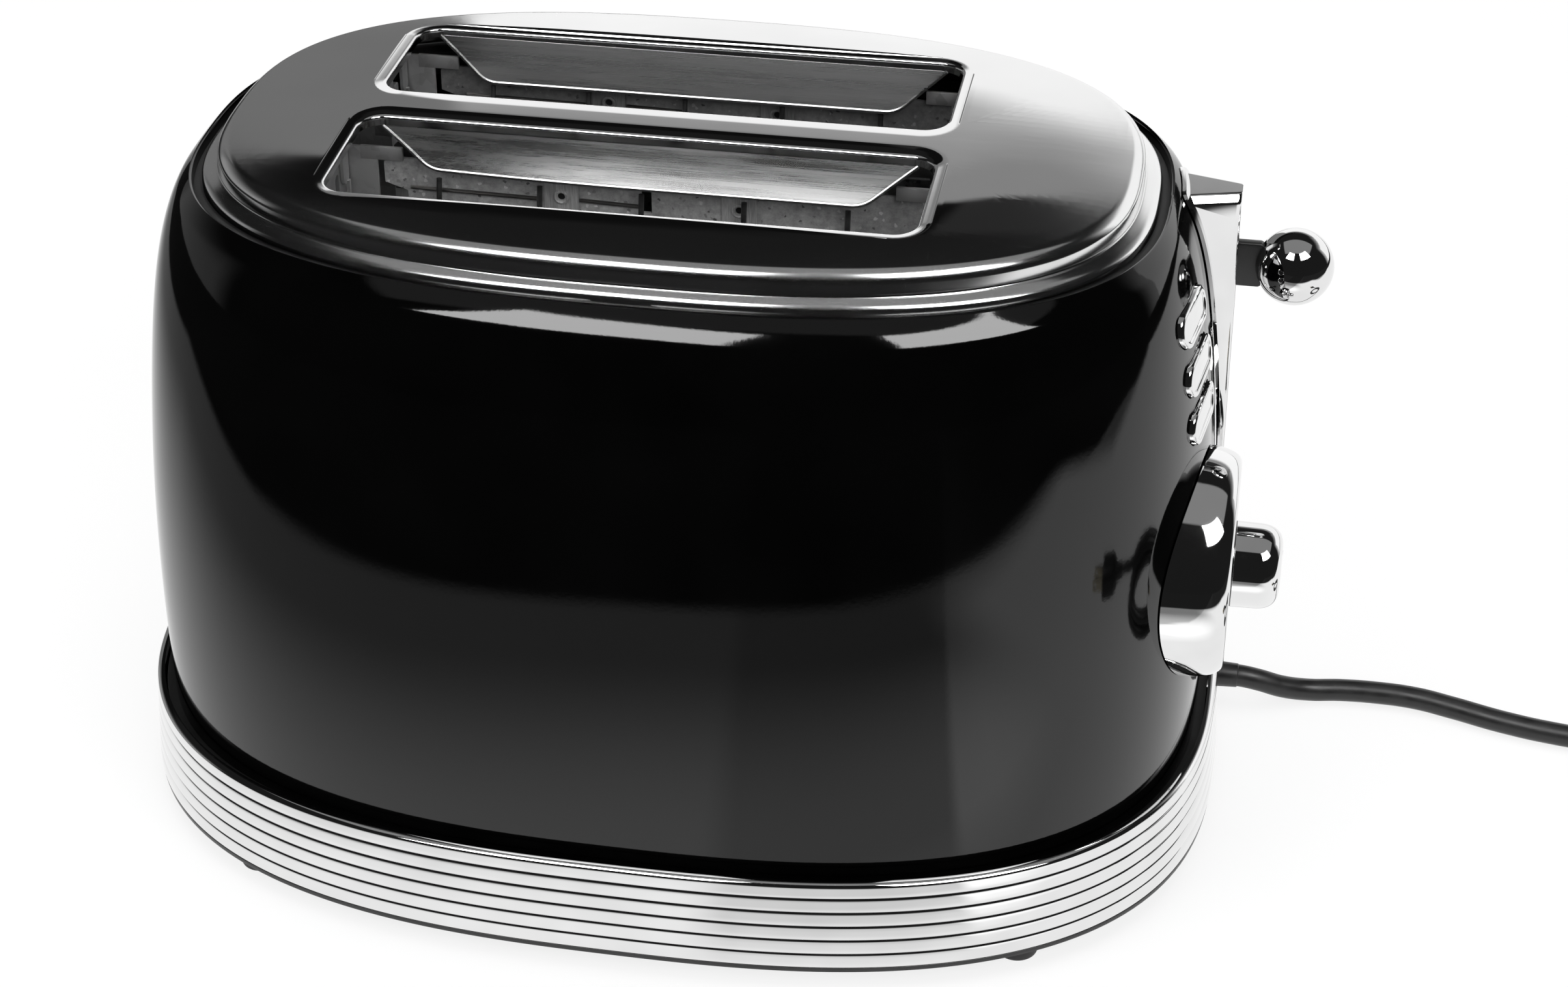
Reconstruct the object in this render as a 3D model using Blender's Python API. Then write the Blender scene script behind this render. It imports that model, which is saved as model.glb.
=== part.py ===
# A two-slice toaster: enamelled barrel shell, steel deck, chrome base ring, lever, buttons and dial.
# Metres, +Z up. +X is the control end, -Y the front, and the floor is at zero.

import math

import bmesh
import bpy
from mathutils import Vector

# Driving dimensions, in metres

PLAN_POWER = 2.63  # exponent of the oval that every outline in plan follows
OVAL_SIDES = 56
ROUND_SIDES = 24
FINE_SIDES = 48  # of the dial's large circles
CORNER_STEPS = 5
EDGE_STEPS = 4  # along a quarter round turned about an axis
SHARP_ANGLE = 0.6
GAP = 0.0003  # between pieces that touch
RUNNING_GAP = 0.0001  # between a shaft and its bore
OVERRUN = 0.002  # how far a cut runs past what it cuts

SLOT_LENGTH = 0.1380
SLOT_WIDTH = 0.0378
SLOT_GAP = 0.0147  # between the two slots
SLOT_SHIFT = -0.0064  # the slots lie off centre, away from the control end
SLOT_CORNER = 0.0060
COLLAR_DEPTH = 0.0030
SLOT_SPACING = SLOT_WIDTH + SLOT_GAP
SLOT_EDGE_Y = SLOT_GAP / 2 + SLOT_WIDTH
SLOT_CENTRES = (-SLOT_SPACING / 2, SLOT_SPACING / 2)

END_SPACE = 0.0697  # from a slot's end to the ring's, with the slots on centre
SIDE_SPACE = 0.05565  # from a slot's outer edge to the ring's side
RING_HALF_LENGTH = SLOT_LENGTH / 2 + END_SPACE
RING_HALF_WIDTH = SLOT_EDGE_Y + SIDE_SPACE
RING_HEIGHT = 0.0240
RING_TAPER = 0.0018
RING_WALL = 0.0035
RING_RIBS = 6
RING_GROOVE = 0.0009

FOOT_RADIUS = 0.0053
FOOT_HEIGHT = 0.0053
FOOT_EDGE = 0.0015
FOOT_X = RING_HALF_LENGTH - 0.0431
FOOT_Y = RING_HALF_WIDTH - 0.0268

TRAY_FLOOR = 0.0024
TRAY_LIP = 0.0013
TRAY_LIP_INSET = 0.0012  # from the ring's outer edge
TRAY_WALL = 0.0035
TRAY_HEIGHT = 0.0224
TRAY_INSET = RING_WALL + GAP  # the tray's wall, in from the ring's outer edge
TRAY_Z = FOOT_HEIGHT + GAP
TRAY_FLOOR_Z = TRAY_Z + TRAY_FLOOR
RING_Z = TRAY_Z + TRAY_LIP + GAP

SHELL_HEIGHT = 0.1397
SHELL_WALL = 0.0008
SHELL_HALF_LENGTH = RING_HALF_LENGTH - 0.0056  # at its widest, low down
SHELL_HALF_WIDTH = RING_HALF_WIDTH - 0.0059
RIM_HALF_LENGTH = SHELL_HALF_LENGTH - 0.0160
RIM_HALF_WIDTH = SHELL_HALF_WIDTH - 0.0227
SHELL_Z = TRAY_Z + TRAY_HEIGHT + GAP
SHELL_TOP_Z = SHELL_Z + SHELL_HEIGHT
# How far the shell is drawn in at shares of its height: 0 is the widest outline and 1 the rim
SHELL_DRAW_SHARES = (
    (0.0, 0.012),
    (0.14, 0.0),
    (0.28, 0.012),
    (0.43, 0.06),
    (0.57, 0.145),
    (0.71, 0.265),
    (0.82, 0.400),
    (0.89, 0.530),
    (0.94, 0.670),
    (0.975, 0.820),
    (1.0, 1.0),
)

DECK_RISE = 0.0102  # from the shell's rim
DECK_HEIGHT = SHELL_TOP_Z + DECK_RISE
FLANGE_INSET = 0.0027  # from the shell's rim
FLANGE_HALF_LENGTH = RIM_HALF_LENGTH - FLANGE_INSET
FLANGE_HALF_WIDTH = RIM_HALF_WIDTH - FLANGE_INSET
PLATE_RISE = 0.0110  # from the flange's edge to the deck
PLATE_STEP = 0.0079  # from the flange's edge in to the deck's flat
PLATE_WALL = 0.0008
# The deck's edge, as shares of its step in and of its rise
PLATE_EDGE_SHARES = (
    (1.0, 1.0),
    (0.785, 0.945),
    (0.67, 0.818),
    (0.633, 0.636),
    (0.633, 0.320),
    (0.49, 0.264),
    (0.34, 0.118),
    (0.11, 0.155),
    (0.01, 0.110),
    (0.0, 0.040),
)
SEAL_DEPTH = 0.0060
SEAL_WIDTH = 0.0060  # in from the flange's edge

FLAP_WALL = 0.0006
FLAP_DROP = 0.0100
FLAP_LEAN = 0.0040
FLAP_END_TOP = 0.0030  # from the slot's end at the flap's top
FLAP_END_FOOT = 0.0150  # and at its foot
FLAP_CORNER = 0.0030

FRAME_WALL = 0.0010
FRAME_CLEARANCE = 0.0050  # from the slot's end
FRAME_HALF_WIDTH = SLOT_EDGE_Y + 0.00685
FRAME_SHOULDER = SHELL_TOP_Z - 0.0120
FRAME_NECK_HALF_WIDTH = SLOT_SPACING / 2 + 0.00975
FRAME_Z = TRAY_FLOOR_Z + GAP
FRAME_TOP = DECK_HEIGHT - PLATE_WALL - GAP
FAR_FRAME_X = SLOT_SHIFT - SLOT_LENGTH / 2 - FRAME_CLEARANCE
NEAR_FRAME_X = SLOT_SHIFT + SLOT_LENGTH / 2 + FRAME_CLEARANCE
RACK_WINDOW_WIDTH = 0.0090
RACK_WINDOW_SPARE = 0.0030

CRUMB_HALF_LENGTH = SLOT_LENGTH / 2 - 0.0130
CRUMB_NEAR_Y = -SLOT_EDGE_Y - 0.01085
CRUMB_WALL = 0.0010
CRUMB_EDGE = 0.0040
CRUMB_LIP_HEIGHT = 0.0085
CRUMB_LIP_INSET = 0.0016
CRUMB_Z = TRAY_FLOOR_Z + GAP

BOARD_WALL = 0.0008
BOARD_OFFSET = SLOT_WIDTH / 2 + 0.0025  # from its slot's centre
BOARD_FOOT = 0.0260
BOARD_TOP = SHELL_TOP_Z - 0.0080
WINDING_WALL = 0.0004
WINDING_WIDTH = 0.0016
WINDING_ROWS = 8
WINDING_FOOT = 0.0500
WINDING_TOP = SHELL_TOP_Z - 0.0280
WINDING_END = 0.0060  # from the board's end
TERMINAL_LENGTH = 0.0040

GUARD_WALL = 0.0012
GUARD_OFFSET = SLOT_WIDTH / 2 - 0.0014
GUARD_FOOT = 0.0420
GUARD_TOP = SHELL_TOP_Z - 0.0060
GUARD_BARS = 12
GUARD_BAR = 0.0014
GUARD_RAIL = 0.0022
GUARD_END = 0.0035  # from the slot's end
GUARD_TAB = 0.0040

CONTROL_Y = -0.0205  # of the dial and the buttons
BEZEL_Z = SHELL_Z + SHELL_HEIGHT * 0.3858
BEZEL_RADIUS = 0.0290
BEZEL_FACE_X = SHELL_HALF_LENGTH + 0.0055
BEZEL_EDGE = 0.0062
BEZEL_TAPER = 0.0011
BEZEL_WALL = 0.0022
RECESS_RADIUS = 0.0200
RECESS_DEPTH = 0.0012
FACE_WALL = 0.0006
KNOB_RADIUS = 0.0104
KNOB_TIP_X = BEZEL_FACE_X + 0.0115
KNOB_ROUND = 0.0050
KNOB_SOCKET = 0.0060
SHAFT_RADIUS = 0.0030
SHAFT_HOLE = 0.0036

BUTTON_LENGTH = 0.0220
BUTTON_HEIGHT = 0.0085
BUTTON_TOP_Z = SHELL_Z + SHELL_HEIGHT * 0.864
BUTTON_PITCH = SHELL_HEIGHT * 0.0909
BUTTON_PROUD = 0.0019
BUTTON_TRAVEL = 0.0020
BUTTON_BEVEL = 0.0010
BUTTON_STEM_RADIUS = 0.0025
BUTTON_DEPTH = 0.0060

HOUSING_HALF_WIDTH = 0.0037  # of the outer face
HOUSING_FLARE = 0.0030  # how much wider it is where it meets the shell's top
HOUSING_LEAN = 0.0010  # how much further out the face stands at its foot than at its top
HOUSING_CORNER = 0.0022
HOUSING_WALL = 0.0012
HOUSING_FACE_X = SHELL_HALF_LENGTH - 0.0004
HOUSING_ROOT_X = SHELL_HALF_LENGTH - 0.0181
HOUSING_TOP = SHELL_TOP_Z - 0.0030
FLANGE_WALL = 0.0009
FLANGE_REACH = 0.0012

LEVER_Y = CONTROL_Y + BEZEL_RADIUS + HOUSING_HALF_WIDTH + FLANGE_REACH + GAP * 2
LEVER_Z = SHELL_Z + SHELL_HEIGHT * 0.8397
LEVER_TRAVEL = 0.0500
LEVER_SLOT_SPARE = 0.0015
STEM_WALL = 0.0025
STEM_HEIGHT = 0.0116
BALL_RADIUS = 0.0093
BALL_X = SHELL_HALF_LENGTH + 0.0134
SOCKET_DEPTH = 0.0060
HOUSING_FOOT = LEVER_Z - LEVER_TRAVEL - STEM_HEIGHT / 2 - 0.0053

CARRIAGE_CLEARANCE = 0.0054
CARRIAGE_X = NEAR_FRAME_X + FRAME_WALL + CARRIAGE_CLEARANCE
CARRIAGE_WALL = 0.0020
CARRIAGE_BAR = 0.0120
CARRIAGE_REACH = SLOT_SPACING / 2 + 0.00975
CARRIAGE_TAB = 0.0100
STEM_START_X = CARRIAGE_X + CARRIAGE_WALL + GAP
RACK_WALL = 0.0015
RACK_NECK = 0.0060
RACK_HALF_WIDTH = 0.0075
RACK_RIB = 0.0024
RACK_RIBS = 7
HUB_X = CARRIAGE_X + 0.0120
HUB_Y = LEVER_Y + 0.0160
HUB_WIDTH = 0.0120
HUB_HEIGHT = 0.0200
ROD_RADIUS = 0.0025
BRACKET_Z = SHELL_TOP_Z - 0.0080
BRACKET_WALL = 0.0015
BRACKET_END = HUB_X + 0.0080
SPRING_WIRE = 0.0005  # radius
SPRING_RADIUS = 0.0044
SPRING_TURNS = 10
SPRING_POINTS = 10  # a turn
MAGNET_Y = LEVER_Y - 0.0210
MAGNET_WIDTH = 0.0180
MAGNET_LENGTH = 0.0160
MAGNET_HEIGHT = 0.0280
MAGNET_YOKE = 0.0030
ARMATURE_WALL = 0.0020
ARMATURE_Z = FRAME_Z + MAGNET_HEIGHT + GAP + LEVER_TRAVEL  # it meets the magnet when the lever is down
RACK_Z = ARMATURE_Z + ARMATURE_WALL + 0.0114

PCB_X = SHELL_HALF_LENGTH - 0.0291
PCB_WALL = 0.0016
PCB_NEAR_Y = CONTROL_Y - 0.0275
PCB_FAR_Y = CONTROL_Y + 0.0185
PCB_TOP = SHELL_TOP_Z - 0.0100
SWITCH_SIZE = 0.0070
SWITCH_DEPTH = 0.0035
POT_RADIUS = 0.0085
POT_DEPTH = 0.0070

CORD_RADIUS = 0.0030
CORD_EXIT_Y = 0.0366
CORD_EXIT_Z = 0.0085
RELIEF_START_X = SHELL_HALF_LENGTH - 0.0151
RELIEF_END_X = SHELL_HALF_LENGTH + 0.0079
RELIEF_RADIUS = 0.0045
RELIEF_FLANGE = 0.0056
RELIEF_FLANGE_WALL = 0.0020
RELIEF_TIP = 0.0036
COIL_RADIUS = 0.0365
COIL_PITCH = 0.0065
COIL_TURNS = 3.25
COIL_POINTS = 24
COIL_X = RELIEF_END_X + 0.1350
COIL_Y = -0.0055
PLUG_LENGTH = 0.0280
PLUG_WIDTH = 0.0250
PLUG_HEIGHT = 0.0170
PLUG_NOSE = 0.0120
PLUG_CORNER = 0.0030
BLADE_LENGTH = 0.0175
BLADE_WIDTH = 0.0063
BLADE_WALL = 0.0015
BLADE_SPACING = 0.0127

# The cord's route by hand, as places beyond the strain relief's end, across and up, to the coil
CORD_ROUTE = (
    (0.0003, 0.0366, 0.0085),
    (0.0020, 0.0366, 0.0085),
    (0.0070, 0.0370, 0.0075),
    (0.0135, 0.0385, 0.0050),
    (0.0210, 0.0408, 0.0032),
    (0.0290, 0.0422, 0.0031),
    (0.0390, 0.0427, 0.0031),
    (0.0490, 0.0420, 0.0031),
    (0.0590, 0.0393, 0.0031),
    (0.0710, 0.0355, 0.0031),
    (0.0840, 0.0327, 0.0031),
    (0.0990, 0.0312, 0.0031),
    (0.1140, 0.0310, 0.0031),
    (0.1287, 0.0310, 0.0031),
)
# The cord's tail, the same way, from the coil to the plug
CORD_TAIL = (
    (0.1715, -0.0118, 0.0096),
    (0.1712, -0.0190, 0.0088),
    (0.1700, -0.0280, 0.0070),
    (0.1685, -0.0370, 0.0068),
    (0.1676, -0.0450, 0.0080),
    (0.1673, -0.0505, 0.0085),
    (0.1673, -0.0522, 0.0085),
)

BALL_TIP_X = BALL_X + BALL_RADIUS
CENTRE_SHIFT = (RING_HALF_LENGTH - BALL_TIP_X) / 2

for old in list(bpy.data.objects):
    bpy.data.objects.remove(old, do_unlink=True)

toaster = bpy.data.objects.new("toaster", None)
toaster.location = (CENTRE_SHIFT, 0.0, 0.0)
bpy.context.collection.objects.link(toaster)


# Materials


def finish(name, colour, roughness, metallic):
    material = bpy.data.materials.new(name)
    material.use_nodes = True
    shader = material.node_tree.nodes["Principled BSDF"]
    shader.inputs["Base Color"].default_value = (*colour, 1.0)
    shader.inputs["Roughness"].default_value = roughness
    shader.inputs["Metallic"].default_value = metallic
    return material


enamel = finish("black_enamel", (0.008, 0.008, 0.009), 0.08, 0.0)
stainless = finish("polished_steel", (0.60, 0.60, 0.61), 0.16, 1.0)
brushed = finish("brushed_steel", (0.52, 0.52, 0.53), 0.34, 1.0)
chrome = finish("chrome", (0.80, 0.80, 0.81), 0.05, 1.0)
zinc = finish("zinc_plate", (0.42, 0.42, 0.43), 0.42, 1.0)
black = finish("black_plastic", (0.012, 0.012, 0.012), 0.38, 0.0)
rubber = finish("black_rubber", (0.015, 0.015, 0.015), 0.60, 0.0)
mica = finish("mica", (0.30, 0.28, 0.25), 0.62, 0.0)
nichrome = finish("heater_wire", (0.35, 0.32, 0.30), 0.40, 1.0)
circuit = finish("circuit_board", (0.05, 0.16, 0.07), 0.45, 0.0)
copper = finish("copper_coil", (0.62, 0.30, 0.14), 0.35, 1.0)
brass = finish("plug_blades", (0.72, 0.66, 0.50), 0.25, 1.0)


# Modelling helpers


def place(name, mesh, material):
    piece = bpy.data.objects.new(name, mesh)
    bpy.context.collection.objects.link(piece)
    piece.parent = toaster
    piece.data.materials.append(material)
    return piece


def mesh_from(name, work):
    bmesh.ops.recalc_face_normals(work, faces=work.faces)
    mesh = bpy.data.meshes.new(name)
    work.to_mesh(mesh)
    work.free()
    return mesh


def round_off(piece):
    piece.data.shade_smooth()
    piece.data.set_sharp_from_angle(angle=SHARP_ANGLE)
    return piece


def oval(half_length, half_width):
    points = []
    for step in range(OVAL_SIDES):
        turn = 2 * math.pi * step / OVAL_SIDES
        across = math.cos(turn)
        along = math.sin(turn)
        x = half_length * math.copysign(abs(across) ** (2 / PLAN_POWER), across)
        y = half_width * math.copysign(abs(along) ** (2 / PLAN_POWER), along)
        points.append((x, y))
    return points


def oval_reach(half_length, half_width, y):
    return half_length * (1 - abs(y / half_width) ** PLAN_POWER) ** (1 / PLAN_POWER)


def loft(name, rows, material, closed):
    """Ovals at heights joined into one skin: a closed loop of rows, or an open one with capped ends."""
    work = bmesh.new()
    rings = []
    for half_length, half_width, z in rows:
        rings.append([work.verts.new((x, y, z)) for x, y in oval(half_length, half_width)])
    pairs = list(zip(rings, rings[1:]))
    if closed:
        pairs.append((rings[-1], rings[0]))
    for low, high in pairs:
        for step in range(OVAL_SIDES):
            after = (step + 1) % OVAL_SIDES
            work.faces.new((low[step], low[after], high[after], high[step]))
    if not closed:
        work.faces.new(rings[0])
        work.faces.new(rings[-1])
    return round_off(place(name, mesh_from(name, work), material))


def extruded(name, outline, axis, start, end, material, holes=()):
    """A flat outline with its holes, drawn in the plane across an axis and extruded along it."""
    curve = bpy.data.curves.new(name, "CURVE")
    curve.dimensions = "2D"
    curve.fill_mode = "BOTH"
    curve.extrude = abs(end - start) / 2
    for loop in (outline, *holes):
        spline = curve.splines.new("POLY")
        spline.points.add(len(loop) - 1)
        for point, (u, v) in zip(spline.points, loop):
            point.co = (u, v, 0.0, 1.0)
        spline.use_cyclic_u = True
    drawn = bpy.data.objects.new(name + "_outline", curve)
    bpy.context.collection.objects.link(drawn)
    bpy.context.view_layer.update()
    mesh = bpy.data.meshes.new_from_object(drawn)
    bpy.data.objects.remove(drawn, do_unlink=True)
    middle = (start + end) / 2
    for vertex in mesh.vertices:
        u, v, w = vertex.co
        if axis == "X":
            vertex.co = (middle + w, u, v)
        elif axis == "Y":
            vertex.co = (u, middle + w, v)
        else:
            vertex.co = (u, v, middle + w)
    work = bmesh.new()
    work.from_mesh(mesh)
    bmesh.ops.remove_doubles(work, verts=work.verts, dist=GAP / 100)
    return place(name, mesh_from(name, work), material)


def box(name, low, high, material):
    work = bmesh.new()
    bmesh.ops.create_cube(work, size=1.0)
    for vertex in work.verts:
        for axis in range(3):
            middle = (low[axis] + high[axis]) / 2
            vertex.co[axis] = middle + vertex.co[axis] * (high[axis] - low[axis])
    return place(name, mesh_from(name, work), material)


def turned(name, profile, origin, axis, material, sides=ROUND_SIDES):
    """A profile of (radius, place along the axis) turned about the axis through origin."""
    work = bmesh.new()
    rings = []
    for radius, along in profile:
        if radius == 0:
            rings.append([work.verts.new((0, 0, along))])
            continue
        ring = []
        for step in range(sides):
            turn = 2 * math.pi * step / sides
            ring.append(work.verts.new((radius * math.cos(turn), radius * math.sin(turn), along)))
        rings.append(ring)
    for low, high in zip(rings, rings[1:]):
        for step in range(sides):
            after = (step + 1) % sides
            if len(low) == 1:
                work.faces.new((low[0], high[after], high[step]))
            elif len(high) == 1:
                work.faces.new((low[step], low[after], high[0]))
            else:
                work.faces.new((low[step], low[after], high[after], high[step]))
    for ring in (rings[0], rings[-1]):
        if len(ring) > 1:
            work.faces.new(ring)
    if axis == "X":
        for vertex in work.verts:
            vertex.co = Vector((vertex.co.z, vertex.co.x, vertex.co.y))
    elif axis == "Y":
        for vertex in work.verts:
            vertex.co = Vector((vertex.co.y, vertex.co.z, vertex.co.x))
    piece = round_off(place(name, mesh_from(name, work), material))
    piece.location = origin
    return piece


def arc(centre, radius, start, end, steps):
    points = []
    for step in range(steps + 1):
        turn = math.radians(start + (end - start) * step / steps)
        points.append((centre[0] + radius * math.cos(turn), centre[1] + radius * math.sin(turn)))
    return points


def rounded(low, high, radius, steps=CORNER_STEPS):
    """A rectangle's outline with round corners."""
    left, bottom = low
    right, top = high
    points = arc((right - radius, bottom + radius), radius, -90, 0, steps)
    points += arc((right - radius, top - radius), radius, 0, 90, steps)
    points += arc((left + radius, top - radius), radius, 90, 180, steps)
    points += arc((left + radius, bottom + radius), radius, 180, 270, steps)
    return points


def rectangle(low, high):
    return [(low[0], low[1]), (high[0], low[1]), (high[0], high[1]), (low[0], high[1])]


def boolean(piece, other, operation):
    """Cuts, joins or crosses a piece with another, which is only a guide from then on."""
    change = piece.modifiers.new(other.name, "BOOLEAN")
    change.operation = operation
    change.object = other
    change.solver = "EXACT"
    other.hide_render = True
    other.display_type = "WIRE"
    return piece


def cut(piece, *cutters):
    for cutter in cutters:
        boolean(piece, cutter, "DIFFERENCE")
    return piece


def join(piece, *others):
    for other in others:
        boolean(piece, other, "UNION")
    return piece


def beyond_relief(route):
    """A route given from the strain relief's end, in the toaster's own frame."""
    return [(RELIEF_END_X + x, y, z) for x, y, z in route]


def tube(name, points, radius, detail, material):
    curve = bpy.data.curves.new(name, "CURVE")
    curve.dimensions = "3D"
    curve.bevel_depth = radius
    curve.bevel_resolution = detail
    curve.use_fill_caps = True
    spline = curve.splines.new("POLY")
    spline.points.add(len(points) - 1)
    for point, place_at in zip(spline.points, points):
        point.co = (*place_at, 1.0)
    piece = bpy.data.objects.new(name, curve)
    bpy.context.collection.objects.link(piece)
    piece.parent = toaster
    curve.materials.append(material)
    return piece


# Outer shell


def draw_share(height_share):
    """How far the shell is drawn in at a share of its height."""
    for (low, low_draw), (high, high_draw) in zip(SHELL_DRAW_SHARES, SHELL_DRAW_SHARES[1:]):
        if height_share <= high:
            return low_draw + (high_draw - low_draw) * (height_share - low) / (high - low)
    return SHELL_DRAW_SHARES[-1][1]


def shell_oval(z, outset=0.0):
    """Half length and half width of the shell's outside at a height, moved out by a distance."""
    draw = draw_share((z - SHELL_Z) / SHELL_HEIGHT)
    half_length = SHELL_HALF_LENGTH + (RIM_HALF_LENGTH - SHELL_HALF_LENGTH) * draw
    half_width = SHELL_HALF_WIDTH + (RIM_HALF_WIDTH - SHELL_HALF_WIDTH) * draw
    return half_length + outset, half_width + outset


def shell_x(y, z, outset=0.0):
    """How far out the shell reaches at the control end."""
    half_length, half_width = shell_oval(z, outset)
    return oval_reach(half_length, half_width, y)


def shell_rows(outset, low, high):
    """The shell's outline at its own heights between two heights, from the low one to the high one."""
    heights = [SHELL_Z + share * SHELL_HEIGHT for share, draw in SHELL_DRAW_SHARES]
    inside = [z for z in heights if low < z < high]
    return [(*shell_oval(z, outset), z) for z in (low, *inside, high)]


def envelope(name, outset):
    """A solid as large as the shell's outside moved out, to cut what hugs the shell."""
    rows = shell_rows(outset, SHELL_Z - TRAY_HEIGHT, SHELL_TOP_Z)
    rows.append((RIM_HALF_LENGTH + outset, RIM_HALF_WIDTH + outset, SHELL_TOP_Z + SHELL_HEIGHT))
    return loft(name, rows, enamel, False)


def lever_slot(name, start_x, end_x, spare):
    """The long slot that the lever's stem runs in."""
    half = STEM_WALL / 2 + spare
    low = LEVER_Z - LEVER_TRAVEL - STEM_HEIGHT / 2 - LEVER_SLOT_SPARE
    high = LEVER_Z + STEM_HEIGHT / 2 + LEVER_SLOT_SPARE
    outline = rectangle((LEVER_Y - half, low), (LEVER_Y + half, high))
    return extruded(name, outline, "X", start_x, end_x, black)


def button_outline(spare):
    half_length = BUTTON_LENGTH / 2 + spare
    half_height = BUTTON_HEIGHT / 2 + spare
    points = arc((half_length - half_height, 0.0), half_height, -90, 90, 8)
    points += arc((half_height - half_length, 0.0), half_height, 90, 270, 8)
    return points


def button_z(index):
    return BUTTON_TOP_Z - index * BUTTON_PITCH


def moved(outline, across, up):
    return [(u + across, v + up) for u, v in outline]


def make_shell():
    outside = shell_rows(0.0, SHELL_Z, SHELL_TOP_Z)
    inside = []
    for half_length, half_width, z in reversed(outside):
        inside.append((half_length - SHELL_WALL, half_width - SHELL_WALL, max(SHELL_Z, z - SHELL_WALL)))
    inside[-1] = (*inside[-1][:2], SHELL_Z)
    shell = loft("outer_shell", outside + inside, enamel, True)
    start_x = PCB_X
    end_x = RING_HALF_LENGTH + OVERRUN
    cut(shell, lever_slot("shell_lever_slot", start_x, end_x, LEVER_SLOT_SPARE))
    for index in range(3):
        hole = moved(button_outline(GAP), CONTROL_Y, button_z(index))
        cut(shell, extruded(f"shell_button_hole_{index}", hole, "X", start_x, end_x, black))
    profile = [(SHAFT_HOLE, start_x), (SHAFT_HOLE, end_x)]
    cut(shell, turned("shell_shaft_hole", profile, (0, CONTROL_Y, BEZEL_Z), "X", black))


# Base


def mouse_hole(name, spare):
    """The arch in the base's lower edge that the strain relief lies in."""
    start = RELIEF_START_X - spare
    shoulder = RELIEF_START_X + RELIEF_FLANGE_WALL + spare
    parts = []
    end = RING_HALF_LENGTH + OVERRUN
    places = ((RELIEF_FLANGE, start, shoulder), (RELIEF_RADIUS, shoulder - spare, end))
    for radius, low, high in places:
        wide = radius + spare
        outline = [(CORD_EXIT_Y - wide, -OVERRUN), (CORD_EXIT_Y + wide, -OVERRUN)]
        outline += arc((CORD_EXIT_Y, CORD_EXIT_Z), wide, 0, 180, 10)
        parts.append(extruded(f"{name}_{len(parts)}", outline, "X", low, high, black))
    return parts


def crumb_opening(name, low, high):
    """The opening at the back that the crumb tray slides through."""
    reach = CRUMB_HALF_LENGTH + GAP
    return box(name, (-reach, FRAME_HALF_WIDTH, low), (reach, RING_HALF_WIDTH + OVERRUN, high), black)


def make_ring():
    rib = RING_HEIGHT / RING_RIBS
    rows = []
    for index in range(RING_RIBS):
        for share, depth in ((0.0, RING_GROOVE), (0.28, 0.0), (0.72, 0.0)):
            up = (index + share) * rib
            inset = RING_TAPER * up / RING_HEIGHT + depth
            if index == 0 and depth:
                inset = 0.0
            rows.append((RING_HALF_LENGTH - inset, RING_HALF_WIDTH - inset, RING_Z + up))
    top = RING_Z + RING_HEIGHT
    for inset in (RING_TAPER + RING_GROOVE, RING_WALL):
        rows.append((RING_HALF_LENGTH - inset, RING_HALF_WIDTH - inset, top))
    rows.append((RING_HALF_LENGTH - RING_WALL, RING_HALF_WIDTH - RING_WALL, RING_Z))
    ring = loft("base_ring", rows, chrome, True)
    cut(ring, *mouse_hole("ring_mouse_hole", GAP))
    cut(ring, crumb_opening("ring_crumb_opening", -OVERRUN, CRUMB_Z + CRUMB_LIP_HEIGHT + GAP))


def make_tray():
    lip = TRAY_LIP_INSET
    wall = TRAY_INSET
    inner = TRAY_INSET + TRAY_WALL
    top = TRAY_Z + TRAY_HEIGHT
    rows = []
    places = (
        (lip, TRAY_Z),
        (lip, TRAY_Z + TRAY_LIP),
        (wall, TRAY_Z + TRAY_LIP),
        (wall, top),
        (inner, top),
        (inner, TRAY_FLOOR_Z),
    )
    for inset, z in places:
        rows.append((RING_HALF_LENGTH - inset, RING_HALF_WIDTH - inset, z))
    tray = loft("base_tray", rows, black, False)
    cut(tray, *mouse_hole("tray_mouse_hole", GAP))
    cut(tray, crumb_opening("tray_crumb_opening", TRAY_FLOOR_Z, CRUMB_Z + CRUMB_LIP_HEIGHT + GAP))


def make_feet():
    profile = (
        (FOOT_RADIUS - FOOT_EDGE, 0.0),
        (FOOT_RADIUS, FOOT_EDGE),
        (FOOT_RADIUS, FOOT_HEIGHT),
    )
    names = {(-1, -1): "foot_left_front", (1, -1): "foot_right_front"}
    names.update({(-1, 1): "foot_left_back", (1, 1): "foot_right_back"})
    for (side, depth), name in names.items():
        turned(name, profile, (side * FOOT_X, depth * FOOT_Y, 0.0), "Z", rubber)


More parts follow.
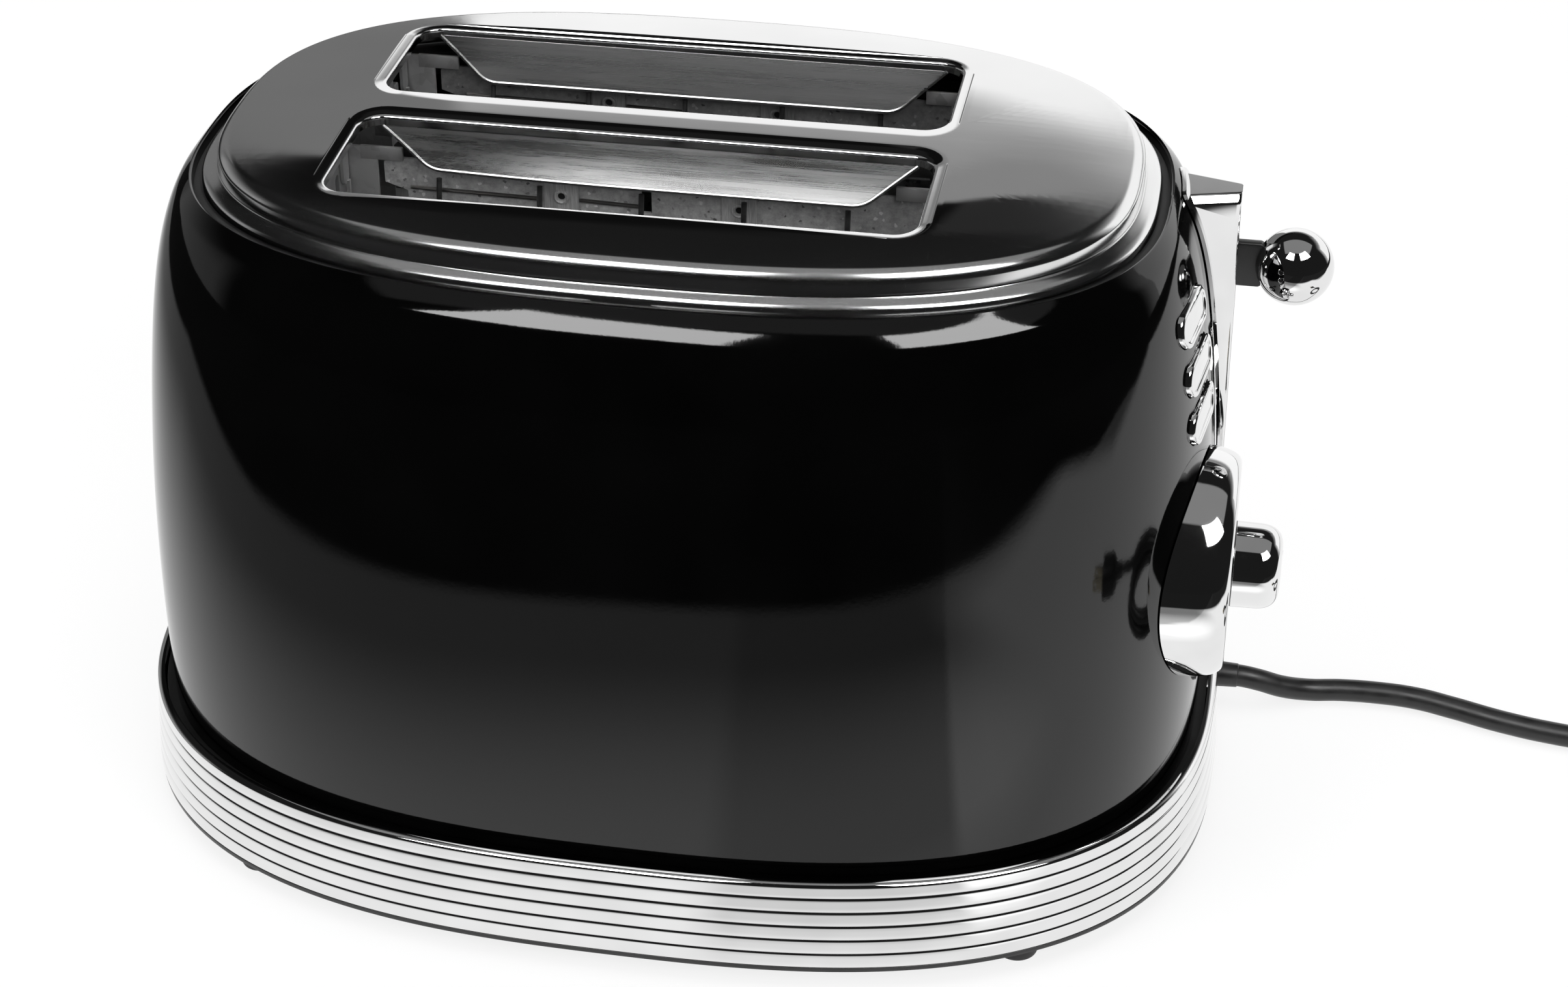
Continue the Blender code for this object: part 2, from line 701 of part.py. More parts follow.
def make_crumb_tray():
    """A flat pan with low edges, and a lip at the back that fills the ring's opening."""
    back_y = oval_reach(RING_HALF_WIDTH - CRUMB_LIP_INSET, RING_HALF_LENGTH, CRUMB_HALF_LENGTH)
    low = (-CRUMB_HALF_LENGTH, CRUMB_NEAR_Y, CRUMB_Z)
    high = (CRUMB_HALF_LENGTH, RING_HALF_WIDTH, CRUMB_Z + CRUMB_LIP_HEIGHT)
    pan = box("crumb_tray", low, high, stainless)
    reach = (RING_HALF_LENGTH - CRUMB_LIP_INSET, RING_HALF_WIDTH - CRUMB_LIP_INSET)
    rows = [(*reach, CRUMB_Z - OVERRUN), (*reach, high[2] + OVERRUN)]
    boolean(pan, loft("crumb_lip_curve", rows, black, False), "INTERSECT")
    front_high = (CRUMB_HALF_LENGTH + OVERRUN, back_y - CRUMB_WALL * 2, high[2] + OVERRUN)
    front_low = (-front_high[0], CRUMB_NEAR_Y - OVERRUN, CRUMB_Z + CRUMB_EDGE)
    inside_low = (-CRUMB_HALF_LENGTH + CRUMB_WALL, CRUMB_NEAR_Y + CRUMB_WALL, CRUMB_Z + CRUMB_WALL)
    inside_high = (CRUMB_HALF_LENGTH - CRUMB_WALL, back_y - CRUMB_WALL * 2, CRUMB_Z + CRUMB_EDGE + OVERRUN)
    cut(pan, box("crumb_front_cut", front_low, front_high, black))
    cut(pan, box("crumb_inside_cut", inside_low, inside_high, black))


# Deck and slots


def make_deck():
    flange_z = DECK_HEIGHT - PLATE_RISE
    top = []
    for step_share, rise_share in PLATE_EDGE_SHARES:
        inset = step_share * PLATE_STEP
        z = flange_z + rise_share * PLATE_RISE
        top.append((FLANGE_HALF_LENGTH - inset, FLANGE_HALF_WIDTH - inset, z))
    under = []
    for half_length, half_width, z in reversed(top):
        under.append((half_length - PLATE_WALL, half_width - PLATE_WALL, z - PLATE_WALL))
    plate = loft("top_plate", top + under, stainless, False)
    for index, centre in enumerate(SLOT_CENTRES):
        low = (SLOT_SHIFT - SLOT_LENGTH / 2, centre - SLOT_WIDTH / 2)
        high = (SLOT_SHIFT + SLOT_LENGTH / 2, centre + SLOT_WIDTH / 2)
        wall = PLATE_WALL
        outer = rounded((low[0] - wall, low[1] - wall), (high[0] + wall, high[1] + wall), SLOT_CORNER + wall)
        collar_z = DECK_HEIGHT - COLLAR_DEPTH
        under_deck = DECK_HEIGHT - PLATE_WALL / 2
        join(plate, extruded(f"collar_{index}", outer, "Z", collar_z, under_deck, black))
        inner = rounded(low, high, SLOT_CORNER)
        end = DECK_HEIGHT + OVERRUN
        cut(plate, extruded(f"slot_cut_{index}", inner, "Z", collar_z - OVERRUN, end, black))


def make_seal():
    """The black ring between the shell's rim and the deck's flange."""
    high = DECK_HEIGHT - PLATE_RISE - PLATE_WALL - GAP
    low = high - SEAL_DEPTH
    clear = -SHELL_WALL * 2 - GAP
    inner_length = FLANGE_HALF_LENGTH - SEAL_WIDTH
    inner_width = FLANGE_HALF_WIDTH - SEAL_WIDTH
    outside = shell_rows(clear, low, high)
    rows = [*outside, (inner_length, inner_width, high), (inner_length, inner_width, low)]
    loft("deck_seal", rows, black, True)


def make_flaps():
    top_z = DECK_HEIGHT - COLLAR_DEPTH - GAP
    foot_z = top_z - FLAP_DROP
    half_top = SLOT_LENGTH / 2 - FLAP_END_TOP - SLOT_CORNER
    half_foot = SLOT_LENGTH / 2 - FLAP_END_FOOT
    names = (("flap_front_near", "flap_front_far"), ("flap_back_near", "flap_back_far"))
    for pair, centre in zip(names, SLOT_CENTRES):
        for name, side in zip(pair, (-1, 1)):
            outline = [(SLOT_SHIFT - half_top, top_z)]
            corner = FLAP_CORNER
            outline += arc((SLOT_SHIFT - half_foot + corner, foot_z + corner), corner, 200, 270, 4)
            outline += arc((SLOT_SHIFT + half_foot - corner, foot_z + corner), corner, 270, 340, 4)
            outline.append((SLOT_SHIFT + half_top, top_z))
            start = centre + side * (SLOT_WIDTH / 2 + PLATE_WALL - FLAP_WALL)
            end = start + side * FLAP_WALL
            flap = extruded(name, outline, "Y", min(start, end), max(start, end), brushed)
            for vertex in flap.data.vertices:
                vertex.co.y -= side * FLAP_LEAN * (top_z - vertex.co.z) / FLAP_DROP


# Chassis, heaters and guards


def make_frames():
    for name, x in (("end_frame_far", FAR_FRAME_X), ("end_frame_control", NEAR_FRAME_X)):
        control = name.endswith("control")
        start = x if control else x - FRAME_WALL
        half, neck = FRAME_HALF_WIDTH, FRAME_NECK_HALF_WIDTH
        outline = [
            (-half, FRAME_Z),
            (half, FRAME_Z),
            (half, FRAME_SHOULDER),
            (neck, FRAME_SHOULDER),
            (neck, FRAME_TOP),
            (-neck, FRAME_TOP),
            (-neck, FRAME_SHOULDER),
            (-half, FRAME_SHOULDER),
        ]
        windows = []
        if control:
            low = RACK_Z - LEVER_TRAVEL - RACK_WINDOW_SPARE
            high = RACK_Z + RACK_WALL + RACK_WINDOW_SPARE
            for centre in SLOT_CENTRES:
                wide = RACK_WINDOW_WIDTH / 2
                windows.append(rectangle((centre - wide, low), (centre + wide, high)))
        extruded(name, outline, "X", start, start + FRAME_WALL, zinc, windows)


def winding_outline(start, end):
    """One ribbon that runs to and fro in rows, from a terminal at its foot to one at its top."""
    pitch = (WINDING_TOP - WINDING_FOOT) / (WINDING_ROWS - 1)
    half = WINDING_WIDTH / 2
    middle = [(start - TERMINAL_LENGTH, WINDING_FOOT)]
    for row in range(WINDING_ROWS):
        z = WINDING_FOOT + row * pitch
        ends = (start, end) if row % 2 == 0 else (end, start)
        if row:
            middle.append((ends[0], z))
        middle.append((ends[1], z))
    last_x = middle[-1][0]
    outward = -TERMINAL_LENGTH if last_x == start else TERMINAL_LENGTH
    middle[-1] = (last_x + outward, middle[-1][1])
    left, right = [], []
    for index, (x, z) in enumerate(middle):
        before = middle[max(index - 1, 0)]
        after = middle[min(index + 1, len(middle) - 1)]
        in_x = math.copysign(1, x - before[0]) if abs(x - before[0]) > GAP else 0
        in_z = 1 if abs(z - before[1]) > GAP else 0
        out_x = math.copysign(1, after[0] - x) if abs(after[0] - x) > GAP else 0
        out_z = 1 if abs(after[1] - z) > GAP else 0
        if index == 0:
            in_x, in_z = out_x, out_z
        if index == len(middle) - 1:
            out_x, out_z = in_x, in_z
        side_x = -(in_z or out_z) if (in_z or out_z) else 0
        side_z = in_x if in_x else out_x
        left.append((x + side_x * half, z + side_z * half))
        right.append((x - side_x * half, z - side_z * half))
    return left + right[::-1]


def make_heaters():
    start = FAR_FRAME_X + GAP
    end = NEAR_FRAME_X - GAP
    outer_names = ("outer_front", "inner_front", "inner_back", "outer_back")
    places = []
    for centre in SLOT_CENTRES:
        places += [(centre - BOARD_OFFSET, 1), (centre + BOARD_OFFSET, -1)]
    for name, (y, towards) in zip(outer_names, places):
        outline = rectangle((start, BOARD_FOOT), (end, BOARD_TOP))
        low = y if towards < 0 else y - BOARD_WALL
        extruded(f"heater_board_{name}", outline, "Y", low, low + BOARD_WALL, mica)
        ribbon = winding_outline(start + WINDING_END, end - WINDING_END)
        near = y + towards * GAP
        far = near + towards * WINDING_WALL
        extruded(f"heater_winding_{name}", ribbon, "Y", min(near, far), max(near, far), nichrome)


def make_guards():
    """Grilles with a tab at each corner that runs along the end frames."""
    far_stop = FAR_FRAME_X + GAP
    near_stop = NEAR_FRAME_X - GAP
    start = SLOT_SHIFT - SLOT_LENGTH / 2 + GUARD_END
    end = SLOT_SHIFT + SLOT_LENGTH / 2 - GUARD_END
    pitch = (end - start - GUARD_BAR) / (GUARD_BARS - 1)
    windows = []
    for bar in range(GUARD_BARS - 1):
        left = start + GUARD_BAR + bar * pitch
        right = left + pitch - GUARD_BAR
        windows.append(rectangle((left, GUARD_FOOT + GUARD_RAIL), (right, GUARD_TOP - GUARD_RAIL)))
    names = (("bread_guard_1", "bread_guard_2"), ("bread_guard_3", "bread_guard_4"))
    for pair, centre in zip(names, SLOT_CENTRES):
        for name, side in zip(pair, (-1, 1)):
            outline = [
                (far_stop, GUARD_FOOT),
                (near_stop, GUARD_FOOT),
                (near_stop, GUARD_FOOT + GUARD_TAB),
                (end, GUARD_FOOT + GUARD_TAB),
                (end, GUARD_TOP - GUARD_TAB),
                (near_stop, GUARD_TOP - GUARD_TAB),
                (near_stop, GUARD_TOP),
                (far_stop, GUARD_TOP),
                (far_stop, GUARD_TOP - GUARD_TAB),
                (start, GUARD_TOP - GUARD_TAB),
                (start, GUARD_FOOT + GUARD_TAB),
                (far_stop, GUARD_FOOT + GUARD_TAB),
            ]
            middle = centre + side * GUARD_OFFSET
            low = middle - GUARD_WALL / 2
            extruded(name, outline, "Y", low, low + GUARD_WALL, zinc, windows)


# Lever, carriage and racks


def make_racks():
    """Each rack is a flat spine with cross ribs, and a neck through the end frame's window."""
    start = SLOT_SHIFT - SLOT_LENGTH / 2 + GUARD_END
    end = CARRIAGE_X - GAP
    last_rib = SLOT_SHIFT + SLOT_LENGTH / 2 - GUARD_END
    pitch = (last_rib - start - RACK_RIB) / (RACK_RIBS - 1)
    half = RACK_NECK / 2
    for name, centre in zip(("bread_rack_front", "bread_rack_back"), SLOT_CENTRES):
        upper = []
        for rib in range(RACK_RIBS):
            left = start + rib * pitch
            right = left + RACK_RIB
            upper += [(left, half), (left, RACK_HALF_WIDTH), (right, RACK_HALF_WIDTH), (right, half)]
        upper = upper[1:]
        lower = [(x, -y) for x, y in reversed(upper)]
        outline = moved([*upper, (end, half), (end, -half), *lower], 0.0, centre)
        extruded(name, outline, "Z", RACK_Z, RACK_Z + RACK_WALL, zinc)


def make_carriage():
    end_x = CARRIAGE_X + CARRIAGE_WALL
    low_z = RACK_Z - CARRIAGE_BAR / 2
    high_z = RACK_Z + CARRIAGE_BAR / 2
    stem_reach = STEM_HEIGHT
    carriage = box("carriage", (CARRIAGE_X, -CARRIAGE_REACH, low_z), (end_x, CARRIAGE_REACH, high_z), zinc)
    upright_low = (CARRIAGE_X, LEVER_Y - stem_reach, high_z - OVERRUN)
    upright_high = (end_x, LEVER_Y + stem_reach, LEVER_Z + STEM_HEIGHT)
    hub = HUB_WIDTH / 2
    hub_low = (end_x - CARRIAGE_WALL / 2, HUB_Y - hub, RACK_Z - HUB_HEIGHT / 2)
    hub_high = (HUB_X + hub, HUB_Y + hub, RACK_Z + HUB_HEIGHT / 2)
    tab_z = ARMATURE_Z + ARMATURE_WALL + GAP
    tab_low = (end_x - CARRIAGE_WALL / 2, MAGNET_Y - CARRIAGE_TAB / 2, tab_z)
    tab_high = (end_x + MAGNET_LENGTH, MAGNET_Y + CARRIAGE_TAB / 2, low_z + OVERRUN)
    join(
        carriage,
        box("carriage_upright", upright_low, upright_high, black),
        box("carriage_hub", hub_low, hub_high, black),
        box("carriage_tab", tab_low, tab_high, black),
    )
    bore = ROD_RADIUS + RUNNING_GAP
    profile = [(bore, hub_low[2] - OVERRUN), (bore, hub_high[2] + OVERRUN)]
    cut(carriage, turned("carriage_bore", profile, (HUB_X, HUB_Y, 0.0), "Z", black))


def make_latch():
    start = CARRIAGE_X + CARRIAGE_WALL + GAP
    end = start + MAGNET_LENGTH
    near = MAGNET_Y - MAGNET_WIDTH / 2
    far = MAGNET_Y + MAGNET_WIDTH / 2
    low = ARMATURE_Z
    box("armature", (start, near, low), (end, far, low + ARMATURE_WALL), zinc)
    top = FRAME_Z + MAGNET_HEIGHT
    yoke = rectangle((near, FRAME_Z), (far, top))
    notches = []
    leg = MAGNET_YOKE
    for left, right in ((near + leg, MAGNET_Y - leg / 2), (MAGNET_Y + leg / 2, far - leg)):
        notches.append((left, right))
    core = extruded("magnet_core", yoke, "X", start, end, zinc)
    for index, (left, right) in enumerate(notches):
        notch_low = (start - OVERRUN, left, FRAME_Z + leg)
        notch_high = (end + OVERRUN, right, top + OVERRUN)
        cut(core, box(f"magnet_notch_{index}", notch_low, notch_high, black))
    coil_low = (start - leg, near + leg + GAP, FRAME_Z + leg + GAP)
    coil_high = (end + leg, far - leg - GAP, top - leg)
    bobbin = box("magnet_coil", coil_low, coil_high, copper)
    post_low = (start - GAP, MAGNET_Y - leg / 2 - GAP, FRAME_Z)
    post_high = (end + GAP, MAGNET_Y + leg / 2 + GAP, top + OVERRUN)
    cut(bobbin, box("magnet_coil_bore", post_low, post_high, black))


def make_guide():
    rod_low = TRAY_FLOOR_Z + GAP
    profile = [(ROD_RADIUS, rod_low), (ROD_RADIUS, BRACKET_Z - GAP)]
    turned("guide_rod", profile, (HUB_X, HUB_Y, 0.0), "Z", zinc)
    low = (NEAR_FRAME_X + FRAME_WALL + GAP, HUB_Y - HUB_WIDTH / 2, BRACKET_Z)
    high = (BRACKET_END, HUB_Y + HUB_WIDTH / 2, BRACKET_Z + BRACKET_WALL)
    bracket = box("guide_bracket", low, high, zinc)
    drop_high = (low[0] + BRACKET_WALL, high[1], BRACKET_Z + BRACKET_WALL / 2)
    drop_low = (low[0], low[1], BRACKET_Z - HUB_WIDTH)
    join(bracket, box("guide_bracket_foot", drop_low, drop_high, black))


def make_spring():
    low = TRAY_FLOOR_Z + GAP + SPRING_WIRE
    high = RACK_Z - HUB_HEIGHT / 2 - GAP - SPRING_WIRE
    points = []
    for step in range(SPRING_TURNS * SPRING_POINTS + 1):
        turn = 2 * math.pi * step / SPRING_POINTS
        z = low + (high - low) * step / (SPRING_TURNS * SPRING_POINTS)
        x = HUB_X + SPRING_RADIUS * math.cos(turn)
        points.append((x, HUB_Y + SPRING_RADIUS * math.sin(turn), z))
    tube("return_spring", points, SPRING_WIRE, 0, zinc)


def make_lever():
    end_x = BALL_X - BALL_RADIUS + SOCKET_DEPTH
    low = (STEM_START_X, LEVER_Y - STEM_WALL / 2, LEVER_Z - STEM_HEIGHT / 2)
    high = (end_x, LEVER_Y + STEM_WALL / 2, LEVER_Z + STEM_HEIGHT / 2)
    box("lever_stem", low, high, black)
    steps = ROUND_SIDES // 2
    profile = [(0, -BALL_RADIUS)]
    profile += arc((0, 0), BALL_RADIUS, -90, 90, steps)[1:-1]
    profile.append((0, BALL_RADIUS))
    ball = turned("lever_ball", profile, (BALL_X, LEVER_Y, LEVER_Z), "X", chrome)
    socket_low = (BALL_X - BALL_RADIUS - OVERRUN, low[1] - GAP, low[2] - GAP)
    socket_high = (end_x + GAP, high[1] + GAP, high[2] + GAP)
    cut(ball, box("ball_socket", socket_low, socket_high, black))


def housing_outline(half_width, spare, corner):
    low = (LEVER_Y - half_width - spare, HOUSING_FOOT - spare)
    high = (LEVER_Y + half_width + spare, HOUSING_TOP + spare)
    return rounded(low, high, corner + spare)


def narrowed(outline, half_width):
    """Draws an outline in towards its foot, where the shell stands closer to the housing's face."""
    points = []
    foot_half = HOUSING_HALF_WIDTH + FLANGE_REACH + GAP
    for u, v in outline:
        share = (HOUSING_TOP - v) / (HOUSING_TOP - HOUSING_FOOT)
        points.append((LEVER_Y + (u - LEVER_Y) * (1 + share * (foot_half / half_width - 1)), v))
    return points


def tapered(name, root_half, face_half, root_x, face_x, corner, drop):
    """A prism along X whose sides draw in from the root to the outer face."""
    root = housing_outline(root_half, 0.0, corner)
    face = housing_outline(face_half, 0.0, corner)
    work = bmesh.new()
    back = [work.verts.new((root_x, u, v)) for u, v in root]
    front = []
    for u, v in face:
        lean = HOUSING_LEAN * (HOUSING_TOP - v) / (HOUSING_TOP - HOUSING_FOOT)
        front.append(work.verts.new((face_x + lean, u, v - math.copysign(drop, v - LEVER_Z))))
    for step in range(len(back)):
        after = (step + 1) % len(back)
        work.faces.new((back[step], back[after], front[after], front[step]))
    work.faces.new(back)
    work.faces.new(front)
    return place(name, mesh_from(name, work), chrome)


def make_housing():
    """A tapered hood over the lever's slot, with a thin flange that hugs the shell."""
    root_half = HOUSING_HALF_WIDTH + HOUSING_FLARE
    root_x, face_x = HOUSING_ROOT_X, HOUSING_FACE_X
    housing = tapered("lever_housing", root_half, HOUSING_HALF_WIDTH, root_x, face_x, HOUSING_CORNER, 0.0)
    wall = HOUSING_WALL
    hollow = tapered(
        "housing_hollow",
        root_half - wall,
        HOUSING_HALF_WIDTH - wall,
        root_x - OVERRUN,
        face_x - wall,
        HOUSING_CORNER,
        wall,
    )
    flange_outline = housing_outline(root_half, FLANGE_REACH, HOUSING_CORNER)
    flange_outline = narrowed(flange_outline, root_half + FLANGE_REACH)
    flange = extruded("housing_flange", flange_outline, "X", root_x, face_x + OVERRUN, chrome)
    boolean(flange, envelope("flange_envelope", GAP + FLANGE_WALL), "INTERSECT")
    join(housing, flange)
    cut(housing, envelope("housing_envelope", GAP), hollow)
    cut(housing, lever_slot("housing_lever_slot", root_x - OVERRUN, face_x + OVERRUN, GAP))


# Buttons and dial


def make_buttons():
    names = ("cancel_button", "reheat_button", "defrost_button")
    for index, name in enumerate(names):
        z = button_z(index)
        far_y = CONTROL_Y + BUTTON_LENGTH / 2
        face_x = shell_x(far_y, z) + BUTTON_PROUD
        near_y = CONTROL_Y - BUTTON_LENGTH / 2
        back_x = shell_x(near_y, z) - BUTTON_DEPTH
        outline = moved(button_outline(0.0), CONTROL_Y, z)
        button = extruded(name, outline, "X", back_x, face_x, chrome)
        work = bmesh.new()
        work.from_mesh(button.data)
        rim = []
        for edge in work.edges:
            flat = [face for face in edge.link_faces if abs(face.normal.x) > 0.9]
            if len(flat) == 1 and all(vertex.co.x > face_x - GAP for vertex in edge.verts):
                rim.append(edge)
        bmesh.ops.bevel(work, geom=rim, offset=BUTTON_BEVEL, segments=2, profile=0.5, affect="EDGES")
        work.to_mesh(button.data)
        work.free()
        stem_start = PCB_X + PCB_WALL + GAP + SWITCH_DEPTH + BUTTON_TRAVEL + GAP
        profile = [(BUTTON_STEM_RADIUS, stem_start), (BUTTON_STEM_RADIUS, back_x + OVERRUN)]
        stem = turned(f"{name}_stem", profile, (0, CONTROL_Y, z), "X", black)
        join(button, stem)


def make_dial():
    origin = (0, CONTROL_Y, BEZEL_Z)
    start = HOUSING_ROOT_X
    face = BEZEL_FACE_X
    shoulder = BEZEL_RADIUS - BEZEL_TAPER
    profile = [(BEZEL_RADIUS, start)]
    profile += arc((shoulder - BEZEL_EDGE, face - BEZEL_EDGE), BEZEL_EDGE, 0, 90, EDGE_STEPS)
    bezel = turned("dial_bezel", profile, origin, "X", chrome, FINE_SIDES)
    inner = BEZEL_RADIUS - BEZEL_WALL
    hollow = [(inner, start - OVERRUN), (inner - BEZEL_TAPER, face - BEZEL_WALL - BEZEL_EDGE)]
    hollow.append((inner - BEZEL_EDGE, face - BEZEL_WALL - RECESS_DEPTH))
    recess = [(RECESS_RADIUS, face - RECESS_DEPTH), (RECESS_RADIUS, face + OVERRUN)]
    hole = [(SHAFT_HOLE, start), (SHAFT_HOLE, face + OVERRUN)]
    cut(
        bezel,
        envelope("bezel_envelope", GAP),
        turned("bezel_hollow", hollow, origin, "X", black, FINE_SIDES),
        turned("bezel_recess", recess, origin, "X", black, FINE_SIDES),
        turned("bezel_hole", hole, origin, "X", black),
    )
    face_start = face - RECESS_DEPTH + GAP
    face_end = face_start + FACE_WALL
    profile = [(RECESS_RADIUS - GAP, face_start), (RECESS_RADIUS - GAP, face_end)]
    dial = turned("dial_face", profile, origin, "X", black, FINE_SIDES)
    cut(dial, turned("face_hole", hole, origin, "X", black))
    knob_start = face_end + GAP
    profile = [(KNOB_RADIUS, knob_start)]
    profile += arc((KNOB_RADIUS - KNOB_ROUND, KNOB_TIP_X - KNOB_ROUND), KNOB_ROUND, 0, 90, EDGE_STEPS)
    knob = turned("browning_knob", profile, origin, "X", chrome)
    socket_end = KNOB_TIP_X - KNOB_SOCKET
    bore = SHAFT_RADIUS + GAP
    socket = [(bore, knob_start - OVERRUN), (bore, socket_end)]
    cut(knob, turned("knob_socket", socket, origin, "X", black))
    shaft = [(SHAFT_RADIUS, PCB_X + PCB_WALL + GAP * 2), (SHAFT_RADIUS, socket_end - GAP)]
    turned("dial_shaft", shaft, origin, "X", zinc)


def make_board():
    low = (PCB_X, PCB_NEAR_Y, TRAY_FLOOR_Z + GAP)
    high = (PCB_X + PCB_WALL, PCB_FAR_Y, PCB_TOP)
    box("control_board", low, high, circuit)
    start = high[0] + GAP
    for index, name in enumerate(("cancel_switch", "reheat_switch", "defrost_switch")):
        half = SWITCH_SIZE / 2
        z = button_z(index)
        switch_low = (start, CONTROL_Y - half, z - half)
        switch_high = (start + SWITCH_DEPTH, CONTROL_Y + half, z + half)
        box(name, switch_low, switch_high, black)
    origin = (0, CONTROL_Y, BEZEL_Z)
    profile = [(POT_RADIUS, start), (POT_RADIUS, start + POT_DEPTH)]
    pot = turned("browning_control", profile, origin, "X", black)
    bore = SHAFT_RADIUS + RUNNING_GAP
    cutter = [(bore, start + RUNNING_GAP), (bore, start + POT_DEPTH + OVERRUN)]
    cut(pot, turned("pot_bore", cutter, origin, "X", black))


# Cord and plug


def coil_points():
    """Loops that spiral in and out again, climbing one layer where the spiral turns back."""
    steps = round(COIL_TURNS * COIL_POINTS)
    points = [(COIL_X - CORD_RADIUS * 2, COIL_Y + COIL_RADIUS, CORD_ROUTE[-1][2])]
    low = CORD_ROUTE[-1][2]
    for step in range(steps + 1):
        turned_by = step / COIL_POINTS
        from_middle = turned_by - COIL_TURNS / 2
        radius = COIL_RADIUS - COIL_PITCH * (COIL_TURNS / 2 - abs(from_middle))
        climb = min(max(from_middle * 2 + 0.5, 0.0), 1.0)
        z = low + COIL_PITCH * climb * climb * (3 - 2 * climb)
        angle = math.pi / 2 - 2 * math.pi * turned_by
        points.append((COIL_X + radius * math.cos(angle), COIL_Y + radius * math.sin(angle), z))
    last = points[-1]
    points.append((last[0], last[1] - CORD_RADIUS * 2, last[2]))
    return points


def least_gap(points, diameter):
    """The least gap between stretches of a coil that lie a turn or so apart."""
    finer = []
    for here, there in zip(points, points[1:]):
        for part in range(4):
            finer.append(Vector(here).lerp(Vector(there), part / 4))
    skip = COIL_POINTS * 4 // 2
    least = math.inf
    for index, point in enumerate(finer):
        for other in finer[index + skip:]:
            least = min(least, (point - other).length)
    return least - diameter


def make_cord():
    profile = (
        (RELIEF_FLANGE, RELIEF_START_X),
        (RELIEF_FLANGE, RELIEF_START_X + RELIEF_FLANGE_WALL),
        (RELIEF_RADIUS, RELIEF_START_X + RELIEF_FLANGE_WALL),
        (RELIEF_RADIUS, shell_x(CORD_EXIT_Y, SHELL_Z)),
        (RELIEF_TIP, RELIEF_END_X),
    )
    turned("strain_relief", profile, (0, CORD_EXIT_Y, CORD_EXIT_Z), "X", rubber)
    tube("cord_run", beyond_relief(CORD_ROUTE), CORD_RADIUS, 2, rubber)
    coil = coil_points()
    print("cord coil: least gap to itself", round(least_gap(coil, CORD_RADIUS * 2) * 1000, 2), "mm")
    tube("cord_coil", coil, CORD_RADIUS, 1, rubber)
    tube("cord_tail", beyond_relief(CORD_TAIL), CORD_RADIUS, 2, rubber)


def make_plug():
    """A flat moulded plug that lies on the floor, its nose towards the cord and its blades towards -Y."""
    tip = beyond_relief(CORD_TAIL)[-1]
    x, start_y = tip[0], tip[1] - GAP
    middle_z = PLUG_HEIGHT / 2
    half = PLUG_WIDTH / 2
    body_y = start_y - PLUG_NOSE
    end_y = body_y - PLUG_LENGTH
    outline = [(x - half, end_y), (x + half, end_y)]
    outline += [(x + half, body_y), (x + CORD_RADIUS * 2, start_y - CORD_RADIUS), (x + CORD_RADIUS, start_y)]
    outline += [(x - CORD_RADIUS, start_y), (x - CORD_RADIUS * 2, start_y - CORD_RADIUS), (x - half, body_y)]
    plug = extruded("plug_body", outline, "Z", 0.0, PLUG_HEIGHT, black)
    side = rounded((end_y, 0.0), (start_y + OVERRUN, PLUG_HEIGHT), PLUG_CORNER)
    guide = extruded("plug_side", side, "X", x - half - OVERRUN, x + half + OVERRUN, black)
    boolean(plug, guide, "INTERSECT")
    for name, shift in (("plug_blade_left", -BLADE_SPACING / 2), ("plug_blade_right", BLADE_SPACING / 2)):
        centre = x + shift
        low = (centre - BLADE_WALL / 2, end_y - GAP - BLADE_LENGTH, middle_z - BLADE_WIDTH / 2)
        high = (centre + BLADE_WALL / 2, end_y - GAP, middle_z + BLADE_WIDTH / 2)
        box(name, low, high, brass)


make_shell()
make_ring()
make_tray()
make_feet()
make_crumb_tray()
make_deck()
make_seal()
make_flaps()
make_frames()
make_heaters()
make_guards()
make_racks()
make_carriage()
make_latch()
make_guide()
make_spring()
make_lever()
make_housing()
make_buttons()
make_dial()
make_board()
make_cord()
make_plug()
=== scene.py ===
# A retro two-slice toaster in black enamel and chrome, dressed over its CAD frame
import math

import bmesh
import bpy
import numpy as np
from mathutils import Matrix, Vector


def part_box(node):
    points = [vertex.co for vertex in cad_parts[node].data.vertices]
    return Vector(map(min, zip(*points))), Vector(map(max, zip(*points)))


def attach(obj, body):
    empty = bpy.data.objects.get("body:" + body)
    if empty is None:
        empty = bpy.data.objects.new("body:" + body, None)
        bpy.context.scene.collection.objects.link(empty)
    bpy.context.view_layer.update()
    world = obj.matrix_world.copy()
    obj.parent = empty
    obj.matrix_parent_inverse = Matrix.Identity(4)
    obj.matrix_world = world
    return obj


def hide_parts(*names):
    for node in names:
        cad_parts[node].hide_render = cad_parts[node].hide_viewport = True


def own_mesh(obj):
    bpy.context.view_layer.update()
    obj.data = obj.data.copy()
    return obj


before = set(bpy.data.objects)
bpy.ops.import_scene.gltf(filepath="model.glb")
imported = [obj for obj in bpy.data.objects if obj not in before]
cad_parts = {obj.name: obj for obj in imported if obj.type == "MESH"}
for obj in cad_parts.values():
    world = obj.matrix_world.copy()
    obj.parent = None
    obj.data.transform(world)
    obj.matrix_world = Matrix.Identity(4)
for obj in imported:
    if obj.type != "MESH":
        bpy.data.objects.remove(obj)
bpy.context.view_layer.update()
scene = bpy.context.scene
scene.view_settings.view_transform = "Standard"
ringLow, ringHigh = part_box("base_ring")
middleX = (ringLow.x + ringHigh.x) / 2  # everything is modelled about the toaster's middle, then moved here
intoPlace = Matrix.Translation((middleX, 0, 0))
print("frame in, toaster middle at", round(middleX, 5))


def newObject(name, data):
    made = bpy.data.objects.new(name, data)
    scene.collection.objects.link(made)
    return made


# ---- camera

